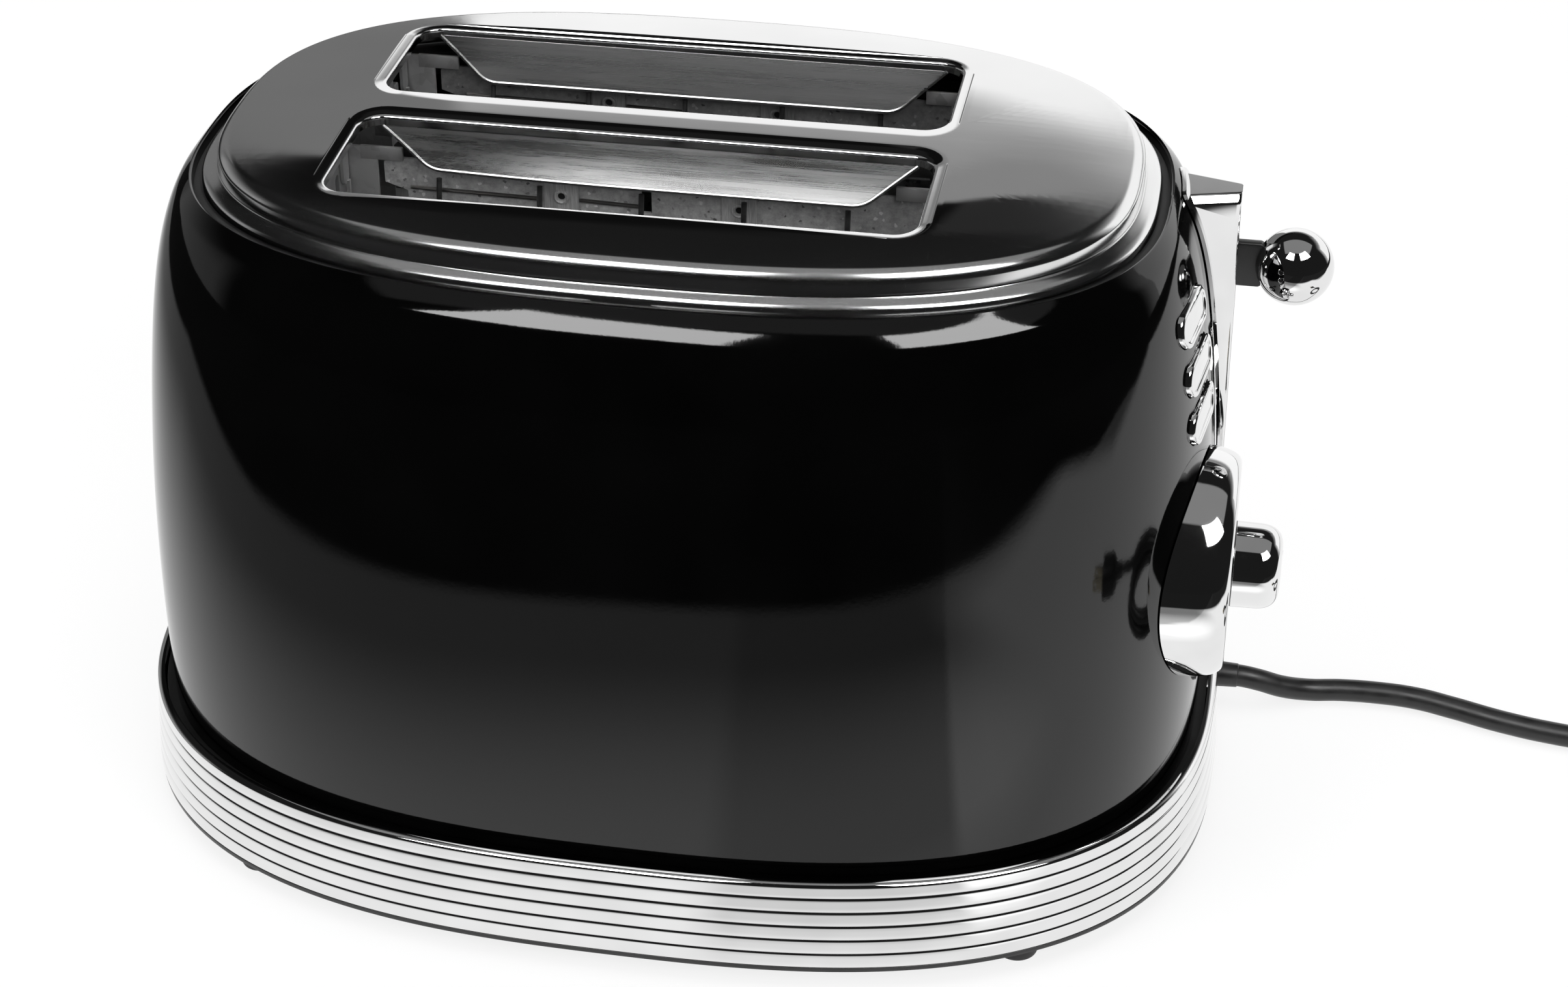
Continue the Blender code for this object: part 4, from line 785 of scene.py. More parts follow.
def leverSlot(name, startX, endX, spare):
    y, half = controls["leverY"], 0.00125 + spare
    low, high = controls["leverZ"] - controls["travel"] - 0.0073, controls["leverZ"] + 0.0073
    return slab(name, rectangle(y - half, low, y + half, high, half * 0.98), "X", startX, endX, plastic)


def makeShell():
    outside = [ovalRow(*row) for row in shellProfile]
    length, width, top = shellProfile[-1]
    roll = shellShape["roll"]
    for turn in (30, 60, 90):
        inward, down = roll * math.sin(math.radians(turn)), roll * (1 - math.cos(math.radians(turn)))
        outside.append(ovalRow(length - inward, width - inward, top - down))
    wall = shellShape["wall"] + roll
    outside.append(ovalRow(length - wall, width - wall, top - 0.0060))
    outside += [ovalRow(row[0] - wall, row[1] - wall, row[2]) for row in reversed(shellProfile[:-8:3])]
    shell = newPiece("shell", rowsMesh("shell", outside, closed=True), enamel)
    cutters = [leverSlot("shellSlot", cutStart, cutEnd, 0.0012)]
    for index in range(3):
        z = controls["buttonTop"] - index * controls["pitch"]
        outline = pill(controls["y"], z, controls["halfLength"], controls["halfHeight"], 0.0003)
        cutters.append(slab("buttonHole", outline, "X", cutStart, cutEnd, plastic))
    hole = [(0, cutStart), (0.0036, cutStart), (0.0036, cutEnd), (0, cutEnd)]
    cutters.append(lathe("shaftHole", hole, (0, controls["y"], controls["bezelZ"]), "X", plastic, 32))
    carve(shell, *cutters)
    return settle(shell, "chassis", "enamel", "outer_shell", sharp=30)


shell = makeShell()
print("shell formed,", len(shell.data.polygons), "faces")

# ---- polished deck with rolled slot edges

deck = {
    "height": 0.1782, "halfLength": 0.1144, "halfWidth": 0.0695, "wall": 0.0008, "roll": 0.0040, "collar": 0.0030,
    "slotLength": 0.1380, "slotWidth": 0.0378, "slotShift": -0.0064, "slotSpacing": 0.0525, "corner": 0.0060,
    # the slot's edge: distance out from its wall, drop below the deck, reach of the round
    "slotEdge": ((0.0040, 0.0, 0.0), (0.0024, 0.0, 0.0008), (0.0, 0.00042, 0.0009), (0.0, 0.0028, 0.0)),
    "webRoll": 1.65,  # the bar between the slots has its edges rolled this much wider
    # inset from the flange's edge, height below the deck, reach of the round
    "edge": (
        (0.0110, 0.0, 0.0), (0.0031, 0.0, 0.0032), (0.0029, 0.0078, 0.0008), (0.0023, 0.0081, 0.0006),
        (0.0006, 0.0093, 0.0012), (0.0000, 0.0112, 0.0), (0.0008, 0.0114, 0.0), (0.0014, 0.0100, 0.0),
        (0.0042, 0.0090, 0.0), (0.0044, 0.0030, 0.0), (0.0110, 0.0012, 0.0),
    ),
    # the same insets at the deck's two ends, where the step lies further in
    "endInset": ((0.0, 0.0), (0.0006, 0.0006), (0.0023, 0.0036), (0.0044, 0.0062), (0.0100, 0.0100), (0.0110, 0.0110)),
    # the border falls away softly: from this share of the oval outwards, down to this much at its edge
    "fallStart": 0.60, "fall": 0.0030,
    "columns": 92, "lines": 56,  # of the grid that makes the fall smooth
}
slotMiddles = (-deck["slotSpacing"] / 2, deck["slotSpacing"] / 2)


def slotLoop(middle, out, height, steps=10):
    half, wide = deck["slotLength"] / 2 + out, deck["slotWidth"] / 2 + out
    near, far = middle - wide, middle + wide
    if middle < 0:
        far += out * (deck["webRoll"] - 1)
    else:
        near -= out * (deck["webRoll"] - 1)
    low, high = deck["slotShift"] - half, deck["slotShift"] + half
    return np.array([(x, y, height) for x, y in rectangle(low, near, high, far, deck["corner"] + out, steps)])


def softenBorder(work):
    for axis, reach, count in ((0, deck["halfLength"], deck["columns"]), (1, deck["halfWidth"], deck["lines"])):
        for step in range(1, count):
            normal = [0.0, 0.0, 0.0]
            normal[axis] = 1.0
            spot = [value * reach * (2 * step / count - 1) for value in normal]
            inner = [face for face in work.faces if abs(face.normal.z) > 0.999 and face.calc_center_median().z > 0.1760]
            edges = {edge for face in inner for edge in face.edges}
            points = {point for face in inner for point in face.verts}
            geometry = [*inner, *edges, *points]
            bmesh.ops.bisect_plane(work, geom=geometry, dist=0.000001, plane_co=spot, plane_no=normal)
    foot = deck["height"] - 0.0081
    for point in work.verts:
        x, y, z = point.co
        share = abs(x / deck["halfLength"]) ** ovalPower + abs(y / deck["halfWidth"]) ** ovalPower
        gone = max(share ** (1 / ovalPower) - deck["fallStart"], 0.0) / (1 - deck["fallStart"])
        point.co.z -= deck["fall"] * gone * gone * min(max((z - foot) / 0.0069, 0.0), 1.0)


def makeDeck():
    top = deck["height"]
    rows = []
    for inset, height in softLine([(inset, top - drop, reach) for inset, drop, reach in deck["edge"]], 9):
        ends = np.interp(inset, *zip(*deck["endInset"]))
        rows.append(ovalRow(deck["halfLength"] - ends, deck["halfWidth"] - inset, height))
    skins, flats = [rowsMesh("deckEdge", rows)], [[rows[0]], [rows[-1]]]
    inside = ((0.0003, top - deck["collar"]), (deck["wall"], top - deck["collar"] + 0.0001))
    inside += ((deck["wall"], top - 0.0019), (deck["roll"] + 0.0002, rows[-1][0][2]))
    for middle in slotMiddles:
        spots = [(out, top - drop) for out, drop in softLine(deck["slotEdge"], 9)]
        loops = [slotLoop(middle, out, height) for out, height in (*spots, *inside)]
        flats[0].append(loops[0])
        flats[1].append(loops[-1])
        skins.append(rowsMesh("slotEdge", loops))

    def build(work):
        for skin in skins:
            work.from_mesh(skin)
        for loops in flats:
            fillLoops(work, loops)
        weld(work)
        softenBorder(work)

    piece = newPiece("deckPlate", rework(bpy.data.meshes.new("deck"), build), steel)
    shade(piece, 40)
    modify(piece, "WEIGHTED_NORMAL", keep_sharp=True, weight=100)
    return settle(piece, "chassis", "stainless", "top_plate", sharp=None)


def makeSeal():
    high = deck["height"] - 0.0119
    rows = []
    for z in (high - 0.0060, high - 0.0035, high - 0.0010):
        length, width = shellAt(z)
        rows.append(ovalRow(length - 0.0021, width - 0.0021, z))
    for inset, z in ((0.0006, high), (0.0060, high), (0.0060, high - 0.0060)):
        rows.append(ovalRow(deck["halfLength"] - inset, deck["halfWidth"] - inset, z))
    seal = newPiece("deckGasket", rowsMesh("deckGasket", rows, closed=True), rubber)
    return settle(seal, "chassis", "black_plastic", "deck_seal")


deckPlate = makeDeck()
makeSeal()
print("deck pressed,", len(deckPlate.data.polygons), "faces")

# ---- bread flaps in the slots, with a hemmed edge

flap = {
    "top": 0.1751, "endTop": 0.0045, "endFoot": 0.0165, "corner": 0.0030, "wall": 0.0006, "hem": 0.00055,
    # drop, lean towards the slot's middle, hollow, and how much straighter it stands at its left end
    "front": (0.0088, 0.0054, 0.0002, 0.55),
    "back": (0.0108, 0.0028, 0.0003, 0.0),
    "columns": 72, "levels": 12,
}


def makeFlap(name, node, middle, side, word):
    half, shift = deck["slotLength"] / 2, deck["slotShift"]
    drop, lean, hollow, twist = flap[word]
    face = middle + side * (deck["slotWidth"] / 2 + 0.0002)

    def spot(x, down):
        share = down / drop
        upright = 1 - twist * min((x - shift) / half, 0.0) ** 2
        off = lean * share * upright - hollow * math.sin(math.pi * share)
        return (x, face - side * off, flap["top"] - down)

    foot, end, corner = flap["endFoot"] - half, half - flap["endTop"], flap["corner"]
    rim = softLine([(-end, 0.0, 0.0), (foot, drop, corner), (-foot, drop, corner), (end, 0.0, 0.0)], 8)
    left = [point for point in rim if point[0] < foot + corner + 0.0001]
    columns, levels = flap["columns"], flap["levels"]
    points = []
    for row in range(levels + 1):
        down = drop * (1 - (1 - row / levels) ** 1.5)
        reach = -np.interp(down, [v for _, v in left], [u for u, _ in left])
        points += [spot(shift - reach + 2 * reach * i / columns, down) for i in range(columns + 1)]
    wide = columns + 1
    starts = [row * wide + i for row in range(levels) for i in range(columns)]
    faces = [(start, start + 1, start + wide + 1, start + wide) for start in starts]
    sheet = newPiece(name, cleanMesh(name, points, faces), brushed)
    modify(sheet, "SOLIDIFY", thickness=flap["wall"], offset=0.0)
    along = []
    for a, b in zip(rim, rim[1:]):
        pieces = max(int(abs(b[0] - a[0]) / 0.004), 1)
        along += [(a[0] + (b[0] - a[0]) * k / pieces, a[1] + (b[1] - a[1]) * k / pieces) for k in range(pieces)]
    hem = tube(name + "Hem", [spot(shift + u, v) for u, v in [*along, rim[-1]]], flap["hem"], brushed, 10)
    settle(unite(sheet, hem), "chassis", "brushed", node)


for middle, word in zip(slotMiddles, ("front", "back")):
    for side, place in ((-1, "near"), (1, "far")):
        makeFlap(f"flap{word.title()}{place.title()}", f"flap_{word}_{place}", middle, side, word)
print("flaps hemmed")

# ---- inside the slots: end plates, mica boards, ribbons, guard wires

chamber = {
    "farX": -0.0814, "nearX": 0.0676, "plate": 0.0010, "halfWidth": 0.0520, "neckHalfWidth": 0.0360,
    "shoulder": 0.1560, "foot": 0.0083, "top": 0.1771, "boardOffset": 0.0214, "board": 0.0008, "boardFoot": 0.0260,
    "rows": 12, "lowRow": 0.0500,
}


def makeEndPlate(name, node, x, inward):
    c = chamber
    low, high = (x, x + c["plate"]) if inward < 0 else (x - c["plate"], x)
    half = [(c["halfWidth"], c["shoulder"]), (c["neckHalfWidth"], c["shoulder"]), (c["neckHalfWidth"], c["top"])]
    outline = [(-c["halfWidth"], c["foot"]), (c["halfWidth"], c["foot"]), *half]
    outline += [(-y, z) for y, z in reversed(half)]
    holes = []
    for middle in slotMiddles:
        holes.append(around(middle, 0.0760, 0.0045, 0.0320, 0.0015))
        for y in (middle - 0.0125, middle + 0.0125):
            for z, wide, tall in ((0.1570, 0.0014, 0.0070), (0.0600, 0.0030, 0.0080), (0.1160, 0.0030, 0.0080)):
                holes.append(around(y, z, wide, tall, 0.0012))
    plate = slab(name, outline, "X", low, high, zinc, holes)
    softEdges(plate, 0.0002, 1)
    face = high if inward > 0 else low
    extras = []
    for middle, side in [(middle, side) for middle in slotMiddles for side in (-1, 1)]:
        # a flange folded in along each board, its strip above the board and a rounded tab beside it
        y = middle + side * (c["boardOffset"] - 0.0014)
        a, b = sorted((face, face + inward * 0.0082))
        extras.append(brick("corner", (a, y - 0.0004, 0.0700), (b, y + 0.0004, 0.1688), zinc, 0.00015))
        a, b = sorted((face + inward * 0.0040, face + inward * 0.0146))
        extras.append(brick("strip", (a, y - 0.0005, 0.1655), (b, y + 0.0005, 0.1690), zinc, 0.0002))
        a, b = sorted((face + inward * 0.0002, face + inward * 0.0010))
        extras.append(slab("tab", around(y - side * 0.0030, 0.1656, 0.0022, 0.0056, 0.0018), "X", a, b, zinc))
    unite(plate, *extras)
    settle(plate, "chassis", "zinc", node, sharp=30)


def makeBoard(name, node, y, towards, word):
    c = chamber
    start, end = c["farX"] + 0.0003, c["nearX"] - 0.0003
    low, high = sorted((y, y - towards * c["board"]))
    right = ((0.0005, c["boardFoot"]), (0.0005, 0.1490), (0.0035, 0.1525), (0.0035, 0.1625), (0.0060, 0.1655))
    left = ((0.0104, 0.1655), (0.0089, 0.1642), (0.0089, 0.1588), (0.0145, 0.1570), (0.0145, 0.1500), (0.0005, 0.1480))
    outline = [(start + 0.0005, c["boardFoot"])]
    outline += [(end - x, z) for x, z in right] + [(start + x, z) for x, z in left]
    inner = []
    for row in range(c["rows"]):  # the slots that the ribbon passes through
        inner += [around(x, c["lowRow"] + row * 0.0082, 0.0006, 0.0012) for x in (start + 0.0040, end - 0.0040)]
    if word == "front":
        inner.append(rectangle(-0.0086, 0.1560, -0.0061, 0.1622))
    # the back slot's boards take the darker mica copy, painted shade
    board = slab(name, outline, "Y", low, high, mica if word == "front" else shadedMica, inner)
    settle(board, "chassis", "mica", node, sharp=30)


clip = {
    "x": (-0.0282, 0.0153), "z": 0.1588, "half": 0.00425, "wall": 0.0004, "eyelet": 0.0019,
    # the eyelet's turned edge: share of its radius, and how proud it stands
    "curl": ((1.0, 0.0), (0.97, 0.0004), (0.78, 0.0006), (0.6, 0.0004), (0.55, -0.0003), (0.8, -0.0003)),
}


def makeClips(name, y, towards, finish):
    face = y + towards * 0.0001
    low, high = sorted((face, face + towards * clip["wall"]))
    outline = rectangle(-clip["half"], clip["z"] - 0.0058, clip["half"], clip["z"] + 0.0046, 0.0006)
    plate = slab(name, outline, "Y", low, high, finish, [around(0.0, clip["z"], 0.0009, 0.0009, 0.00088)])
    out = face + towards * clip["wall"]
    profile = [(clip["eyelet"] * share, out + towards * lift) for share, lift in clip["curl"]]
    unite(plate, lathe("eyelet", profile, (0, 0, clip["z"]), "Y", finish, 20))
    clips = repeat(name, plate, (clip["x"][0], 0.0, 0.0), (clip["x"][1] - clip["x"][0], 0.0, 0.0), 2, finish)
    # a thin black disc in each eyelet: painted shade for the inside of its hole
    near, far = face - towards * 0.00004, face + towards * 0.00008
    for x in clip["x"]:
        shadeDisc = [(0.0, near), (0.0012, near), (0.0012, far), (0.0, far)]
        unite(clips, lathe("eyeletHole", shadeDisc, (x, 0, clip["z"]), "Y", plastic, 16))
    settle(clips, "chassis", "zinc")


winding = {
    "Start": chamber["farX"] + 0.0055, "End": chamber["nearX"] - 0.0055, "Foot": chamber["lowRow"], "Top": 0.1402,
    "Rows": chamber["rows"], "Middle": 0.0, "Width": 0.0016, "Thick": 0.0004, "Finish": ribbon,
}


def windingTree():
    tree, feed = newTree("heaterWinding", winding)
    line = add(tree, "GeometryNodeMeshLine", inputs={"Count": feed["Rows"] * 2.0})
    number = add(tree, "GeometryNodeInputIndex")
    row = calc("FLOOR", number / 2.0)
    side = calc("PINGPONG", calc("FLOOR", (number + 1.0) / 2.0), 1.0)
    x = side * (feed["End"] - feed["Start"]) + feed["Start"]
    z = row * ((feed["Top"] - feed["Foot"]) / (feed["Rows"] - 1.0)) + feed["Foot"]
    spot = add(tree, "ShaderNodeCombineXYZ", x, feed["Middle"], z)
    path = add(tree, "GeometryNodeMeshToCurve", add(tree, "GeometryNodeSetPosition", line, None, spot))
    inputs = {"Width": feed["Width"], "Height": feed["Thick"]}
    section = add(tree, "GeometryNodeCurvePrimitiveQuadrilateral", inputs=inputs)
    body = add(tree, "GeometryNodeCurveToMesh", path, section, inputs={"Fill Caps": True})
    return endTree(tree, body, feed["Finish"])


windings = windingTree()


def makeWinding(name, node, y, towards):
    middle = y + towards * 0.0005
    piece = grow(name, windings, winding | {"Middle": middle})
    for low, high in ((-0.0655, -0.0330), (-0.0235, -0.0090)):  # the lead that runs along under the clips
        unite(piece, tube("lead", [(low, middle, 0.1582), (high, middle, 0.1578)], 0.0005, ribbon, 8))
    settle(piece, "chassis", "heater_wire", node, sharp=30)


guard = {"offset": 0.0175, "wire": 0.0007, "foot": 0.0430, "pitch": 0.0249, "start": -0.0578, "count": 5}


def makeGuard(number, y, out):
    points = softLine([(0.0, guard["foot"], 0), (0.0, 0.1560, 0.003), (0.0014, 0.1622, 0.0)], 4)
    wire = tube("wire", [(0.0, y + out * u, v) for u, v in points], guard["wire"], wireSteel, 8)
    start, step = (guard["start"], 0.0, 0.0), (guard["pitch"], 0.0, 0.0)
    wires = repeat(f"guard{number}", wire, start, step, guard["count"], wireSteel)
    left, right = chamber["farX"] + 0.0008, chamber["nearX"] - 0.0008
    rails = []
    for z in (guard["foot"] + 0.0010, 0.0980, 0.1500):
        line = [(left, y - out * 0.0015, z), (right, y - out * 0.0015, z)]
        rails.append(tube("rail", line, guard["wire"], wireSteel, 8))
    for x in (left + 0.0004, right - 0.0004):
        rails.append(brick("tab", (x - 0.0004, y - 0.0006, 0.0425), (x + 0.0004, y + 0.0006, 0.1605), zinc))
    settle(unite(wires, *rails), f"guard_{number}", "zinc", f"bread_guard_{number}")


makeEndPlate("endPlateFar", "end_frame_far", chamber["farX"], 1)
makeEndPlate("endPlateControl", "end_frame_control", chamber["nearX"], -1)
places = (("front", -1, "outer"), ("front", 1, "inner"), ("back", -1, "inner"), ("back", 1, "outer"))
for number, (word, side, ply) in enumerate(places, 1):
    middle = slotMiddles[word == "back"]
    boardY = middle + side * chamber["boardOffset"]
    title, node = ply.title() + word.title(), f"{ply}_{word}"
    makeBoard("micaBoard" + title, "heater_board_" + node, boardY, -side, word)
    # the back slot's clips take the darker tin copy, painted shade
    makeClips("boardClips" + title, boardY, -side, tin if word == "front" else shadedTin)
    makeWinding("winding" + title, "heater_winding_" + node, boardY, -side)
    makeGuard(number, middle + side * guard["offset"], side)
print("slots fitted out")

# ---- lever housing, stem and ball

housing = {
    "halfWidth": 0.0037, "flare": 0.0046, "lean": 0.0010, "faceX": 0.1327, "rootX": 0.1150, "top": 0.1650,
    "foot": 0.0845, "flange": 0.0012, "bevel": 0.0018, "farBevel": 0.0007,
}


def makeHousing():
    h = housing
    y, high, low, bevel = controls["leverY"], h["top"], h["foot"], h["bevel"]
    # heights of the rows, with how far the near side has drawn in for the bevel along the top
    levels = [(0.0, low + (high - 0.006 - low) * step / 40) for step in range(40)]
    ends = [(0, high - 0.006, 0), (0, high - bevel, 0.0004), (bevel, high, 0.0004), (bevel + 0.0009, high, 0)]
    rows = []
    for inset, z in levels + softLine(ends, 4):
        face = h["faceX"] + h["lean"] * (high - z) / (high - low)
        outer, half = h["halfWidth"], []
        for back in (h["rootX"] - 0.004, 0.1190, face - 0.0012):
            half.append((back, outer + h["flare"] * (1 - (back - h["rootX"]) / (face - h["rootX"]))))
        half += [(face - 0.0004, outer + 0.00005), (face - 0.0001, outer - 0.0003), (face, outer - 0.0007)]
        drawn = inset * h["farBevel"] / bevel
        line = [(x, y - w + inset, z) for x, w in half] + [(x, y + w - drawn, z) for x, w in reversed(half)]
        rows.append(np.array(line))
    return newPiece("leverHousing", rowsMesh("leverHousing", rows, capped=True), chrome)


def hugShell(name, out):
    shape = [(shellProfile[0][0], shellProfile[0][1], 0.0)]
    shape += [row for row in shellProfile if row[2] <= 0.1680] + [(*shellProfile[-1][:2], 0.30)]
    rows = [ovalRow(length + out, width + out, z) for length, width, z in shape]
    return newPiece(name, rowsMesh(name, rows, capped=True), chrome)


def finishHousing():
    h, y = housing, controls["leverY"]
    body = makeHousing()
    hollow = rectangle(y - 0.0026, h["foot"] + 0.0012, y + 0.0026, h["top"] - 0.0026)
    inner = slab("hollow", hollow, "X", cutStart, h["faceX"] - 0.0012, chrome)
    spread = h["halfWidth"] + h["flare"] + h["flange"]
    outline = []
    for u, v in rectangle(y - spread, h["foot"] - h["flange"], y + spread, h["top"] + h["flange"], 0.0034, 8):
        share = (h["top"] - v) / (h["top"] - h["foot"])
        width = spread + (h["halfWidth"] + 0.0015 - spread) * min(max(share, 0.0), 1.0)
        outline.append((y + (u - y) * width / spread, v))
    flange = slab("flange", outline, "X", h["rootX"] - 0.012, h["faceX"] + 0.004, chrome)
    carve(flange, hugShell("hugOuter", 0.0012), operation="INTERSECT")
    carve(body, flange, operation="UNION")
    carve(body, hugShell("hugInner", 0.0003), inner, leverSlot("housingSlot", cutStart, 0.1420, 0.0003))
    settle(body, "chassis", "chrome", "lever_housing", sharp=32)


lever = {"ballRadius": 0.0093, "ballX": 0.1465, "wall": 0.0025, "height": 0.0116}


def makeStem():
    y, z = controls["leverY"], controls["leverZ"]
    start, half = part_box("lever_stem")[0].x - middleX, lever["height"] / 2
    outline = rectangle(start, z - half, lever["ballX"] - 0.0075, z + half, 0.0010)
    stem = slab("leverStem", outline, "Y", y - lever["wall"] / 2, y + lever["wall"] / 2, plastic)
    softEdges(stem, 0.0004, 3)
    settle(stem, "lever", "black_plastic", "lever_stem", sharp=40)


def makeBall():
    x, y, z = lever["ballX"], controls["leverY"], controls["leverZ"]
    profile = [(0.0, -lever["ballRadius"])]
    for step in range(1, 48):
        angle = math.pi * step / 48
        profile.append((lever["ballRadius"] * math.sin(angle), -lever["ballRadius"] * math.cos(angle)))
    profile.append((0.0, lever["ballRadius"]))
    ball = lathe("leverBall", profile, (x, y, z), "X", chrome, 96)
    carve(ball, brick("socket", (x - 0.02, y - 0.0016, z - 0.0062), (x - 0.0071, y + 0.0016, z + 0.0062), chrome))
    settle(ball, "lever", "chrome", "lever_ball", sharp=50)


finishHousing()
makeStem()
makeBall()
print("lever done")

# ---- push buttons, dial and knob


def makeButton(index, node, body):
    c, name = controls, f"button{index}"
    y, z, proud, sunk = c["y"], c["buttonTop"] - index * c["pitch"], c["proud"], -0.0040
    back = shellX(y - c["halfLength"], z) + sunk
    # inset, height over the shell, reach of the round
    profile = [(0.0, sunk, 0), (0.0, proud, 0.0008), (0.0013, proud, 0.0004)]
    profile += [(0.0016, proud - 0.0005, 0.0003), (0.0041, proud - 0.0004, 0)]
    rows = []
    for inset, lift in softLine(profile, 5):
        outline = pill(y, z, c["halfLength"] - inset, c["halfHeight"] - inset, steps=16)
        rows.append(np.array([(back if lift < -0.0035 else shellX(u, v) + lift, u, v) for u, v in outline]))
    cap = newPiece(name, rowsMesh(name, rows, capped=True), chrome)
    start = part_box(node)[0].x - middleX
    stem = [(0, start), (0.0025, start), (0.0025, back + 0.001), (0, back + 0.001)]
    unite(cap, lathe("stem", stem, (0, y, z), "X", plastic, 24))
    settle(cap, body, "chrome", node, sharp=28)


for index, word in enumerate(("cancel", "reheat", "defrost")):
    makeButton(index, word + "_button", word)

dial = {
    "radius": 0.0290, "faceX": 0.1386, "startX": 0.1150, "round": 0.0088, "taper": 0.0013, "shaft": 0.0036,
    "recess": 0.0200, "depth": 0.0012, "knobRadius": 0.0104, "knobTip": 0.1501, "knobRound": 0.0072, "bore": 0.0033,
    "ticks": 7, "tickTurn": 45,
}


def makeDial():
    d, y, z = dial, controls["y"], controls["bezelZ"]
    middle, radius, front, back = (0.0, y, z), d["radius"], d["faceX"], d["faceX"] - d["depth"]
    corners = [(d["shaft"], d["startX"], 0), (radius, d["startX"], 0), (radius - d["taper"], front, d["round"])]
    corners += [(d["recess"] + 0.0004, front, 0.0004), (d["recess"], back, 0.0), (d["shaft"], back, 0)]
    bezel = lathe("dialBezel", softLine(corners, 12), middle, "X", chrome, 128)
    hollow = [(0.0, cutStart), (radius - 0.0022, cutStart), (radius - 0.0032, front - 0.0084)]
    hollow += [(radius - 0.0090, front - 0.0036), (0.0, front - 0.0036)]
    carve(bezel, hugShell("hugBezel", 0.0003), lathe("hollow", hollow, middle, "X", chrome, 96))
    settle(bezel, "chassis", "chrome", "dial_bezel", sharp=35)
    face, rim = back + 0.0003, d["recess"] - 0.0003
    outline = [(d["shaft"], face), (rim, face), (rim, face + 0.0005), (d["shaft"], face + 0.0005)]
    settle(lathe("dialFace", outline, middle, "X", plastic, 96), "chassis", "black_plastic", "dial_face")
    tick, still = brick("tick", (-0.00005, -0.0003, 0.0140), (0.00013, 0.0003, 0.0172), tickPaint), (0.0, 0.0, 0.0)
    turn = math.radians(d["tickTurn"])
    ticks = repeat("dialTicks", tick, still, still, d["ticks"], tickPaint, (turn, 0.0, 0.0))
    ticks.data.transform(Matrix.Translation((face + 0.00055, y, z)) @ Matrix.Rotation(-3 * turn, 4, "X"))
    settle(ticks, "chassis", "black_plastic")
    tip, wide = d["knobTip"], d["knobRadius"]
    corners = [(d["bore"], face + 0.0008, 0), (wide, face + 0.0008, 0.0004), (wide - 0.0002, tip, d["knobRound"])]
    line = [*softLine([*corners, (0.0, tip, 0)], 14), (0.0, tip - 0.0058), (d["bore"], tip - 0.0058)]
    knob = lathe("browningKnob", line, middle, "X", chrome, 96)
    mark = brick("mark", (tip - 0.00025, y - 0.0004, z + 0.0012), (tip + 0.00003, y + 0.0004, z + 0.0048), plastic)
    settle(unite(knob, mark), "dial", "chrome", "browning_knob", sharp=35)


makeDial()
print("controls done")

# ---- base tray, feet, crumb pan, strain relief, plug

base = {
    # inset from the ring's outline, height, reach of the round
    "tray": (
        (0.0420, 0.0055, 0), (0.0003, 0.0055, 0.0005), (0.0003, 0.0070, 0.0002), (0.0038, 0.0070, 0),
        (0.0038, 0.0280, 0), (0.0073, 0.0280, 0), (0.0073, 0.0080, 0),
    ),
    "vents": 13, "ventPitch": 0.0060,
    "screw": ((0.0, 0.0042, 0), (0.0030, 0.0042, 0.0008), (0.0033, 0.0056, 0)),
    "screwX": 0.0780, "screwY": 0.0520,
    "foot": (
        (0.0, 0.0006, 0), (0.0032, 0.0006, 0.0003), (0.0038, 0.0, 0.0003), (0.0053, 0.0, 0.0014),
        (0.0050, 0.0053, 0.0), (0.0, 0.0053, 0),
    ),
    "footX": 0.0956, "footY": 0.0740,
}


def makeTray():
    length, width = baseRing["Half Length"], baseRing["Half Width"]
    rows = [ovalRow(length - inset, width - inset, z) for inset, z in softLine(base["tray"], 3)]
    tray = newPiece("baseTray", rowsMesh("baseTray", rows, capped=True), plastic)
    vent = slab("vent", around(0.0, 0.0, 0.0150, 0.0013, 0.0013), "Z", 0.0030, 0.0120, plastic)
    start = (0.0, -base["ventPitch"] * (base["vents"] - 1) / 2, 0.0)
    vents = repeat("vents", vent, start, (0.0, base["ventPitch"], 0.0), base["vents"], plastic)
    carve(tray, *mouseHole("trayHole"), backOpening("trayOpening", 0.0080), vents)
    settle(tray, "chassis", "black_plastic", "base_tray", sharp=32)
    head = lathe("screwHead", softLine(base["screw"], 4), (0, 0, 0), "Z", zinc, 24)
    for wide, tall in ((0.0018, 0.0004), (0.0004, 0.0018)):
        carve(head, slab("cross", around(0.0, 0.0, wide, tall), "Z", 0.0035, 0.0048, zinc))
    x, y = base["screwX"], base["screwY"]
    pair = repeat("screwPair", head, (-x, -y, 0.0), (2 * x, 0.0, 0.0), 2, zinc)
    settle(repeat("baseScrews", pair, (0.0, 0.0, 0.0), (0.0, 2 * y, 0.0), 2, zinc), "chassis", "zinc")


def makeFeet():
    for side, word in ((-1, "left"), (1, "right")):
        for depth, place in ((-1, "front"), (1, "back")):
            spot = (side * base["footX"], depth * base["footY"], 0.0)
            foot = lathe(f"foot{word.title()}{place.title()}", softLine(base["foot"], 5), spot, "Z", rubber, 48)
            settle(foot, "chassis", "rubber", f"foot_{word}_{place}")


